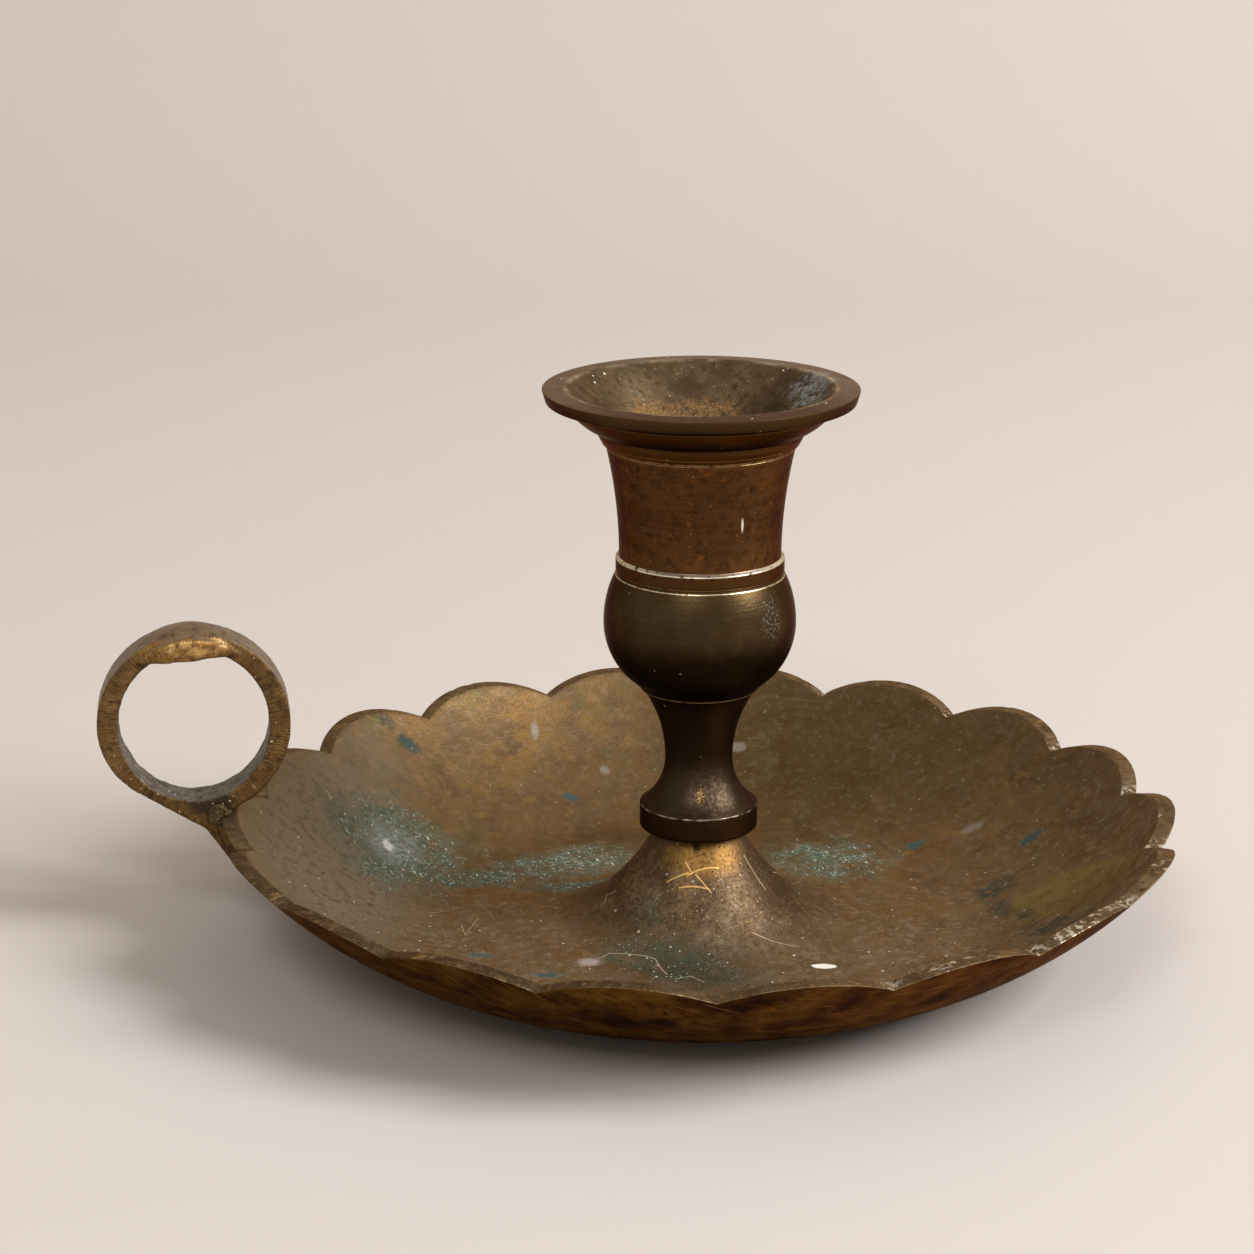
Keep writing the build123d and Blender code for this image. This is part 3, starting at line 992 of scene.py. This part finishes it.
# %% Paint the small marks and finish the pan's inside
STROKE_WIDTH = 0.17
# the near side also carries a painted sheen in the pan's colours
NEAR_SIDE = ("Y", 35.0, -30.0, 0.25)  # dust, grain and scratches show most in front
SALT_SHAPE = (2.6, 1.0, 1.6)  # salt flecks are short strokes,
SALT_TURN = -1.25  # which this angle turns to run from front to back
WAX_DROP = ((19.0, -22.2, 2.1), (2.0, 1.0, 3.0), -0.1, 0.25, 1.2, 0.12)
LINT = ((-18.0, -20.0, 2.1), (1.8, 1.5, 3.0), 0.0, 0.5, 0.7, 0.5)
PALE_MARKS = (
    # centre x, y, half length, half width
    (-27.5, 61.4, 0.7, 1.6),
    (9.2, 61.9, 1.5, 0.9),
    (-14.9, 56.7, 0.8, 0.9),
    (48.3, 28.9, 2.0, 1.0),
)
PALE_SCRATCHES = (
    ((8.3, -15.0), (11.5, -15.4), (15.7, -15.2)),
    ((7.3, -5.0), (10.7, -7.0)),
    ((12.3, -0.4), (17.8, 14.9)),
    ((-62.5, 27.0), (-61.8, 25.4)),
    ((-44.0, 1.1), (-39.2, 3.6)),
    ((-38.6, -4.0), (-37.9, -8.3), (-36.0, -0.9)),
    ((53.0, -14.0), (56.5, -12.5)),
    ((68.2, -8.5), (66.0, -12.5)),
)
LONG_HAIR = (
    (-16.6, -18.8),
    (-14.7, -17.1),
    (-11.9, -18.0),
    (-9.2, -19.1),
    (-7.4, -20.2),
    (-6.6, -22.8),
    (-5.7, -25.3),
)
HAIRS = (
    ((-16.1, -4.3), (-15.3, -4.4), (-15.0, -2.6), (-13.5, -3.8)),
    LONG_HAIR,
    ((-4.5, -27.2), (-2.1, -26.0), (0.0, -28.5)),
)


def pan_inside(place):
    """Cast brass, wiped and stained: satin metal that dry pale marks interrupt."""
    radius, angle = polar(place)
    near = slope(place, *NEAR_SIDE)
    fine = blotches(place, 0.5, 0.35, 0.65, 2.0)
    rings_place = flat_grid(radius, 1 / LATHE_PITCH, angle, 2.0)
    rings = blotches(rings_place, 1.0, 0.45, 0.75, 2.0)
    stretched = local_place(place, sizes=SALT_SHAPE, turn=SALT_TURN)

    colour = pan_patina(place, near, fine, rings_place, rings)
    colour, dark_grain = paint_boss(colour, place, near)
    colour, film = paint_film(colour, place, stretched)
    colour, veil, crust, blue, flecks, dark_flecks, core = paint_verdigris(colour, place, stretched)

    lines = either(
        scratches(place, 7.0, 0.13, 0.5, 0.74, 0.80),
        scratches(place, 4.0, 0.12, -0.7, 0.74, 0.80),
        scratches(place, 3.0, 0.13, 1.7, 0.75, 0.82),
    )
    lines = both(lines, near, blotches(place, 6.0, 0.50, 0.64))
    pale_specks = both(specks(place, 2.0, 0.20, 0.5), near)
    fine_specks = both(specks(place, 0.9, 0.11, 0.5), near)
    dark_specks = both(specks(place, 1.1, 0.17, 0.5), near)
    pale_scratches = both(
        strokes(place, PALE_SCRATCHES, STROKE_WIDTH), blotches(place, 0.5, 0.3, 0.4)
    )
    hairs = strokes(place, HAIRS, STROKE_WIDTH)
    wax_drop = stain(place, *WAX_DROP)
    lint = stain(place, *LINT)
    colour = paint(
        place,
        colour,
        [
            (stains(place, PALE_MARKS, 10.0, ragged=0.5, grain=1.0, fade=0.4), "968A7A"),
            (lines, "9E8E70"),
            (dark_specks, "3C2F22"),
            (fine_specks, "B4A78E"),
            (pale_specks, "CFC6B4"),
            (lint, "9D9186"),
            (wax_drop, "F1EADC"),
            (flecks, "C6CABF"),
            (dark_flecks, "C4C4B4"),
            (pale_scratches, "B5A688"),
            (hairs, "AFA086"),
        ],
    )
    dull = either(crust, blue, pale_specks, flecks, dark_flecks, core, wax_drop, lint, hairs)
    metallic = paint(place, 0.8, [(veil, 0.3), (dull, 0.0)])
    rough = paint(place, 0.46, [(fine, 0.55), (film, 0.36), (veil, 0.7), (dull, 0.85)])
    heights = [
        (fine, 0.015),
        (rings, 0.008),
        (lines, -0.015),
        (crust, 0.05),
        (pale_specks, 0.06),
        (wax_drop, 0.4),
        (lint, 0.3),
        (hairs, 0.15),
        (dark_grain, -0.03),
    ]
    return colour, metallic, rough, heights


pan.data.materials.append(metal("cast brass, wiped pan", pan_inside, tint="BC9A68"))
print("placed marks:", len(PALE_MARKS), "pale,", len(PALE_SCRATCHES), "scratches,", len(HAIRS), "hairs")

# %% [markdown]
# ## Rim and underside of the pan
# The underside kept its casting skin: a dark orange brown, blotchy and duller.
# The rim was filed, so it is lighter, with cross marks and bright nicks. On the
# right front the sharp notches are chipped down to pale metal, with painted highlights on them.

# %% Paint rim and underside
RIM_MARKS = 160.0  # file marks per radian
NOTCH_FADE = (0.30, 0.06)
# the painted highlights on the chips lie on the right, towards the window lamp
RIM_RIGHT = ("X", 5.0, 35.0)
RIM_FRONT = ("Y", 20.0, -10.0)
RIM_LEFT = ((-50.0, -55.0, 21.0), (50.0, 40.0, 40.0), 0.6, 0.3, 8.0, 0.4)
FACES_UP = 0.02
RIM_SHARE = 0.03  # share of the wall's thickness that belongs to its sides


def pan_outside(place):
    """Cast brass with its dark skin: rough, so it takes light as a broad glow."""
    pits = blotches(place, 0.7, 0.5, 0.75)
    coats = [
        (9.0, 0.45, 0.65, "6A4E20"),
        (5.0, 0.48, 0.72, 5.0, "785A2A"),
        (8.0, 0.50, 0.68, 5.0, "2E1D0D"),
        (1.3, 0.62, 0.72, "1E140C"),
        (scratches(place, 7.0, 0.2, 0.4, 0.70, 0.8), "8C6A3C"),
    ]
    return (
        paint(place, "4A3414", coats),
        0.92,
        paint(place, 0.42, [(blotches(place, 3.0, 0.4, 0.7), 0.6)]),
        [(pits, -0.03), (blotches(place, 2.5, 0.3, 0.7), 0.03)],
    )


def pan_rim(place):
    """Filed brass edge, worn and nicked: chipped notches on the right are pale metal with painted
    highlights.
    """
    radius, angle = polar(place)
    marks = blotches(flat_grid(angle, RIM_MARKS, radius, 0.4), 1.0, 0.45, 0.7, 2.0)
    half_turns = add_node(angle, "Math", {0: angle, 1: SCALLOPS / 2}, operation="MULTIPLY")
    wave = add_node(angle, "Math", {0: half_turns}, operation="COSINE")
    notch = add_node(angle, "Math", {0: wave}, operation="ABSOLUTE")
    limits = {"Value": notch, "From Min": NOTCH_FADE[0], "From Max": NOTCH_FADE[1]}
    cusp = add_node(angle, "MapRange", limits)
    chips = either(cusp, both(blotches(place, 6.0, 0.55, 0.6), slope(place, *RIM_FRONT)))
    bright = both(chips, slope(place, *RIM_RIGHT), blotches(place, 1.1, 0.50, 0.58, 4.0))
    nicks = both(marks, blotches(place, 1.8, 0.5, 0.62))
    dark_left = both(stain(place, *RIM_LEFT), blotches(place, 2.5, 0.30, 0.55))
    coats = [
        (3.0, 0.4, 0.65, "806C52"),
        (1.2, 0.55, 0.7, "4A3A28"),
        (dark_left, "51422F"),
        (nicks, "A88A5C"),
        # pale chips with painted highlights, only on the right, which faces the lamp
        (bright, "E6DCC8"),
    ]
    return (
        paint(place, "69563E", coats),
        0.8,
        paint(place, 0.5, [(nicks, 0.35), (bright, 0.3)]),
        [(marks, 0.04), (blotches(place, 0.6, 0.4, 0.7), 0.03)],
    )


pan.data.materials.append(metal("cast brass, dark skin", pan_outside, tint="A8844E"))
pan.data.materials.append(metal("filed brass rim", pan_rim, tint="BC9A68"))
counts = [0, 0, 0]
for face in pan.data.polygons:
    radius, height = math.hypot(face.center.x, face.center.y), face.center.z
    part = 0 if face.normal.z > FACES_UP else 1
    if height > SIDE_START and radius > inner_rim * BOWL_SHARE:
        low, high = wall_at(height)
        if RIM_SHARE < (radius - low) / (high - low) < 1 - RIM_SHARE:
            part = 2
    face.material_index = part
    counts[part] += 1
print("pan faces inside, outside and on the rim:", counts)

# %% [markdown]
# ## The turned stem
# The stem was turned in a lathe and then darkened with age: nearly black where
# no hand rubs it, red brown on the cup, olive on the bulb, where painted shade darkens
# its underside and a painted sheen lightens its top. Colours change with height, so
# a ramp along Z carries them. Sharp turned edges lost their patina, and they are painted as
# thin pale lines, part bare brass and part painted highlight, which break where dirt sits.

# %% Paint the stem
RAMP_TOP = 91.0
TURNING_SHAPE = (30.0, 30.0, 0.28)  # lathe lines go round and are thin in height
STREAK_SHAPE = (14.0, 14.0, 0.9)
STEM_COLOURS = {
    # height in millimetres and colour, for each part from the foot up
    "foot disc": ((18.0, "3C2B1C"), (21.8, "423020")),
    "waist": ((22.2, "3A2E22"), (25.0, "3C3125"), (28.5, "3E3226")),
    "neck": ((31.5, "36291D"), (40.5, "33271C")),
    # the bulb: darker below as painted shade, lighter at the top as a painted sheen
    "bulb": ((42.5, "2A1F15"), (47.0, "2A2014"), (52.0, "38291B"), (57.0, "4A3C29")),
    "groove": ((60.5, "46361F"),),
    "band": ((61.2, "4A3016"), (63.2, "50341A")),
    "cup": ((64.5, "64401F"), (72.0, "54341A"), (81.0, "603C1C")),
    "cove": ((82.2, "6E4822"), (84.2, "3E2814"), (87.0, "6A461E")),
    "flange": ((88.0, "30200F"), (88.8, "3E2A18"), (90.4, "4C361F")),
}
STEM_BANDS = {
    # lower and upper height and softness of each worn line or zone
    # the pale lines below are part bare brass and part painted highlight on the edges
    "foot line": (21.85, 22.05, 0.05),
    "collar line": (41.45, 41.72, 0.04),
    # bulb: the upper bulb, which carries a painted sheen
    "bulb": (51.0, 60.0, 3.0),
    "lower groove": (60.42, 60.60, 0.04),
    "upper groove": (60.98, 61.12, 0.04),
    "nicks": (62.75, 63.15, 0.1),
    "bevel": (63.10, 63.58, 0.05),
    "cup": (63.8, 81.0, 0.8),
    "cup line": (81.15, 81.62, 0.04),
}
STEM_STAINS = {
    "scratch": ((6.1, -12.0, 71.2), (0.17, 1.0, 1.1), 0.0, 0.15, 0.4, 0.3),
    "bulb specks": ((11.1, -10.4, 55.8), (1.8, 1.8, 3.2), 0.0, 0.7, 1.5, 0.8),
    # neck front: worn brass with a painted sheen on it
    "neck wear and sheen": ((2.0, -7.5, 26.0), (3.2, 3.5, 4.0), 0.0, 0.6, 1.5, 0.6),
    "foot gold": ((0.0, -6.7, 25.0), (0.7, 1.5, 1.1), 0.0, 0.9, 0.6, 0.5),
}


def height_colours(height, parts):
    """Colours that change with height, by one colour ramp of up to 30 stops."""
    rows = [row for part in parts.values() for row in part]
    share = add_node(height, "Math", {0: height, 1: RAMP_TOP}, operation="DIVIDE")
    ramp = add_node(height, "ValToRGB", {0: share})
    stops = ramp.color_ramp.elements
    for stop, (level, code) in zip(stops, (rows[0], rows[-1])):
        stop.position = level / RAMP_TOP
        stop.color = srgb(code)
    for level, code in rows[1:-1]:
        stops.new(level / RAMP_TOP).color = srgb(code)
    return ramp


def stem_outside(place):
    """Turned brass, dark patina: smooth, so it keeps a clear narrow highlight."""
    height = add_node(place, "SeparateXYZ", {0: place}).outputs["Z"]
    band = named_bands(height, STEM_BANDS)
    spot = named_stains(place, STEM_STAINS)
    turning = blotches(local_place(place, sizes=TURNING_SHAPE), 1.0, 0.35, 0.7, 3.0)
    streaks = blotches(local_place(place, sizes=STREAK_SHAPE), 1.0, 0.42, 0.68, 3.0)
    grain = blotches(place, 0.45, 0.35, 0.7)
    breaks = blotches(place, 1.1, 0.34, 0.46)
    fine_breaks = blotches(place, 0.5, 0.36, 0.5)
    dust = specks(place, 2.0, 0.16, 0.3)

    bevel_line = both(band["bevel"], breaks)
    groove_lines = either(both(band["upper groove"], breaks), both(band["lower groove"], breaks))
    collar_line = both(band["collar line"], breaks)
    cup_line = both(band["cup line"], fine_breaks)
    foot_line = both(band["foot line"], blotches(place, 1.6, 0.45, 0.58))
    coats = [
        (band["cup"], 6.0, 0.38, 0.72, "46301A"),
        (band["cup"], 1.6, 0.50, 0.66, 4.0, "3A2614"),
        (band["cup"], streaks, grain, "62432A"),
        (turning, blotches(place, 4.0, 0.45, 0.8), grain, "554028"),
        (band["bulb"], 6.0, 0.35, 0.75, "41331F"),
        # painted sheen on the upper bulb
        (band["bulb"], turning, 2.5, 0.45, 0.7, "54452E"),
        (band["cup"], 1.4, 0.62, 0.72, "784E28"),
        # worn brass with a painted sheen on the neck's front
        (spot["neck wear and sheen"], 0.6, 0.44, 0.68, "665644"),
        (spot["foot gold"], 0.3, 0.50, 0.58, "C89A55"),
        (band["nicks"], 0.9, 0.55, 0.6, "140D07"),
        # pale edge lines: part bare brass, part painted highlight
        (collar_line, "98805F"),
        (cup_line, "B0946C"),
        (foot_line, "A89C8A"),
        (groove_lines, "D9C4A0"),
        (bevel_line, "EADBC2"),
        (spot["bulb specks"], 0.45, 0.52, 0.64, "8F8B7E"),
        (spot["scratch"], "F0E8D8"),
        (dust, "9A8C76"),
    ]
    bright = either(bevel_line, groove_lines, collar_line, cup_line, foot_line)
    zones = [
        (grain, 0.40),
        (band["bulb"], 0.30),
        (band["cup"], 0.38),
        (spot["neck wear and sheen"], 0.5),
        (dust, 0.8),
        (bright, 0.28),
    ]
    return (
        paint(place, height_colours(height, STEM_COLOURS), coats),
        0.9,
        paint(place, 0.34, zones),
        [(turning, 0.010), (grain, 0.010), (fine_breaks, 0.006), (dust, 0.03)],
    )


stem.data.materials.append(metal("turned brass, dark patina", stem_outside, tint="A8957A"))
print("stem zones:", ", ".join(STEM_BANDS))

# %% [markdown]
# ## Inside of the cup
# The funnel that leads to the candle's socket is turned brass under old wax: a
# brown residue at the back, a grey bloom on the right, pale specks all over. Its
# outermost ring is paler and greyer, partly a painted reflection, and darker again at the front.

# %% Paint the funnel
MOUTH_LEVEL = 90.44 * MM
SOCKET_FLOOR = (58 * MM, 59 * MM)
LIES_FLAT = 0.9
FACES_AXIS = -0.02
FUNNEL_BANDS = {
    # lower and upper radius and softness
    "top ring": (21.3, 26.0, 0.25),
    "worn edge": (20.9, 21.7, 0.25),
    "dirt": (0.0, 20.5, 1.0),
}
FUNNEL_STAINS = {
    "front ring": ((4.0, -25.0, 90.0), (26.0, 22.0, 9.0), 0.0, 0.3, 4.0, 0.5),
    "left residue": ((-8.5, 12.0, 82.8), (4.5, 4.5, 2.4), 0.0, 0.9, 1.6, 0.5),
    "back residue": ((1.5, 14.0, 82.6), (6.0, 4.5, 2.4), 0.0, 0.9, 1.6, 0.5),
    "bloom": ((17.8, 6.0, 88.2), (3.6, 5.5, 3.2), 0.0, 0.6, 1.6, 0.6),
}


def stem_funnel(place):
    """Turned brass with wax residue: a dull film on metal that shows through."""
    radius, _ = polar(place)
    spot = named_stains(place, FUNNEL_STAINS)
    band = named_bands(radius, FUNNEL_BANDS)
    top_ring = band["top ring"]
    residue = either(spot["left residue"], spot["back residue"])
    bloom = both(spot["bloom"], blotches(place, 0.7, 0.36, 0.58))
    wax = specks(place, 1.7, 0.20, 0.45)
    fine_wax = specks(place, 0.9, 0.12, 0.5)
    grain = blotches(place, 0.6, 0.35, 0.7)
    coats = [
        (7.0, 0.45, 0.65, "4C3A2A"),
        (3.0, 0.50, 0.70, "6C5C46"),
        # the top ring: paler and greyer, partly a painted reflection, darker at the front
        (top_ring, "7E6F5E"),
        (top_ring, 6.0, 0.45, 0.65, "6E5C4A"),
        (top_ring, spot["front ring"], "57422C"),
        (residue, 1.3, 0.36, 0.56, "785834"),
        (residue, 0.4, 0.48, 0.62, "A07C4C"),
        (residue, specks(place, 0.9, 0.16, 0.5), "CDB083"),
        (bloom, "9CA09E"),
        (band["worn edge"], 5.0, 0.40, 0.65, "B9A68A"),
        (fine_wax, "9C8F78"),
        (band["dirt"], 1.2, 0.5, 0.64, 4.0, "4A3C28"),
        (wax, "D4CDBE"),
    ]
    dull = either(residue, bloom, wax)
    return (
        paint(place, "62513A", coats),
        paint(place, 0.7, [(dull, 0.0)]),
        paint(place, 0.45, [(grain, 0.55), (top_ring, 0.38), (dull, 0.8)]),
        [(grain, 0.015), (residue, 0.05), (wax, 0.08)],
    )


stem.data.materials.append(metal("turned brass, waxed funnel", stem_funnel, tint="B89A6C"))
funnel_faces = 0
for face in stem.data.polygons:
    outward = Vector((face.center.x, face.center.y, 0)).normalized()
    height, is_flat = face.center.z, face.normal.z > LIES_FLAT
    is_top = height > MOUTH_LEVEL and is_flat
    is_inner = height > SOCKET_FLOOR[0] and face.normal.dot(outward) < FACES_AXIS
    is_floor = SOCKET_FLOOR[0] < height < SOCKET_FLOOR[1] and is_flat
    if is_top or is_inner or is_floor:
        face.material_index = 1
        funnel_faces += 1
print("stem faces inside the cup:", funnel_faces)

# %% [markdown]
# ## Ring and braze
# The ring's two flat sides show the file: short marks that run outwards from its
# middle. Its inside is as rough as it came out of the sand and has gone grey, and
# its outside is rubbed satin by hands.

# %% Paint the ring and the braze
RING_MARKS = 60.0  # file marks per radian
FACES_SIDEWAYS = 0.6
FACES_HOLE = 0.5
HOLE_REACH = 14 * MM
RING_STAINS = {
    "thumb": ((-81.5, -4.6, 49.2), (7.0, 3.0, 2.2), 0.0, 0.4, 1.6, 0.3),
    "shiny": ((-80.0, -4.9, 49.6), (5.0, 3.0, 1.3), 0.0, 0.5, 1.4, 0.4),
    "joint": ((-79.0, -3.9, 24.0), (3.6, 3.0, 3.0), 0.0, 0.5, 1.4, 0.3),
    # low left: where painted glints gather, with the joint
    "low left": ((-88.0, -4.0, 29.5), (7.0, 4.0, 6.0), 0.0, 0.4, 2.0, 0.5),
}


def ring_sides(place):
    """Filed cast brass: radial marks break its sheen into short glints; pale specks on it are painted
    glints.
    """
    radius, angle = polar(place, tuple(ring_centre / MM), axis="Y", turn=RING_TURN)
    around = flat_grid(angle, RING_MARKS, radius, 0.28)
    marks = blotches(around, 1.0, 0.45, 0.66, 2.0)
    pale_marks = blotches(around, 0.6, 0.58, 0.70, 1.0)
    grain = blotches(place, 0.5, 0.4, 0.68)
    spot = named_stains(place, RING_STAINS)
    shiny = both(spot["shiny"], blotches(place, 1.6, 0.42, 0.58))
    glint_places = either(blotches(place, 3.0, 0.52, 0.6), spot["joint"], spot["low left"])
    coats = [
        (4.0, 0.42, 0.65, "826538"),
        (1.8, 0.50, 0.68, "523A20"),
        (marks, 2.6, 0.32, 0.54, "392A1B"),
        (pale_marks, 2.2, 0.48, 0.62, "A08458"),
        (specks(place, 0.8, 0.12, 0.35), "241910"),
        (spot["joint"], "3E3020"),
        (spot["thumb"], "8C6836"),
        (spot["thumb"], 1.0, 0.5, 0.62, "5A3F20"),
        (shiny, "CBA566"),
        # pale specks painted as glints, most on the lower left and at the joint
        (specks(place, 0.8, 0.15, 0.45), glint_places, "D9CDB4"),
    ]
    return (
        paint(place, "6E5129", coats),
        0.75,
        paint(place, 0.45, [(grain, 0.55), (shiny, 0.3)]),
        [(marks, -0.04), (grain, 0.03), (spot["joint"], 0.1)],
    )


def ring_inside(place):
    """Rough cast brass gone grey: it looks dry and sandy inside the ring."""
    coats = [
        (2.4, 0.45, 0.65, "4E4236"),
        (1.0, 0.52, 0.68, "857C6D"),
        (specks(place, 0.8, 0.16, 0.45), "C9C4BA"),
    ]
    grain, lumps = blotches(place, 0.6, 0.4, 0.66), blotches(place, 1.5, 0.3, 0.7)
    return paint(place, "6C6253", coats), 0.6, 0.55, [(grain, 0.08), (lumps, 0.06)]


def ring_outside(place):
    """Cast brass rubbed satin by hands: one soft highlight runs along it."""
    grain = blotches(place, 0.5, 0.4, 0.68)
    coats = [
        (3.5, 0.42, 0.65, "90795A"),
        (1.5, 0.55, 0.7, "4E3A28"),
        (scratches(place, 4.0, 0.18, 0.1, 0.66, 0.76), "9A8468"),
    ]
    return (
        paint(place, "7C664C", coats),
        0.75,
        paint(place, 0.42, [(grain, 0.52)]),
        [(grain, 0.02)],
    )


def braze_metal(place):
    """Braze frozen in lumps: dark scale, with bright filler glinting through."""
    coats = [
        (1.2, 0.45, 0.62, "68552F"),
        (0.8, 0.55, 0.66, "29231A"),
        (specks(place, 0.7, 0.13, 0.35), "C2AE84"),
    ]
    return paint(place, "46381F", coats), 0.6, 0.55, [(blotches(place, 0.7, 0.4, 0.65), 0.12)]


ring.data.materials.append(metal("filed cast brass", ring_sides))
ring.data.materials.append(metal("rough cast brass", ring_inside))
ring.data.materials.append(metal("cast brass, rubbed satin", ring_outside))
braze.data.materials.append(metal("braze, dark scale", braze_metal))
for face in ring.data.polygons:
    inward = inward_from(face.center)
    if abs(face.normal.dot(ring_side)) > FACES_SIDEWAYS:
        face.material_index = 0
    elif face.normal.dot(inward.normalized()) > FACES_HOLE and inward.length < HOLE_REACH:
        face.material_index = 1
    else:
        face.material_index = 2
print("ring and braze painted with", len(ring.data.materials) + 1, "metals")

# %% [markdown]
# ## Screw and washer
# They sit in the hollow of the boss and show only from below: plain steel that
# has gone dull, with rust in patches.


# %% Paint the screw and the washer
def dull_steel(place, rust):
    """Dull steel with a brown bloom of rust, matt where the rust has spread."""
    spots = blotches(place, 1.6, 0.5 - rust, 0.62)
    return (
        paint(place, "6E6A66", [(spots, "5A3A22"), (0.5, 0.55, 0.7, "2E2620")]),
        paint(place, 0.9, [(spots, 0.2)]),
        paint(place, 0.4, [(spots, 0.8)]),
        [(spots, 0.03)],
    )


for node, name, rust in (
    ("fixing_screw", "turned steel screw", 0.02),
    ("screw_washer", "stamped steel washer", 0.06),
):
    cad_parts[node].material_slots[0].material = metal(name, dull_steel, rust)
print("screw and washer painted")
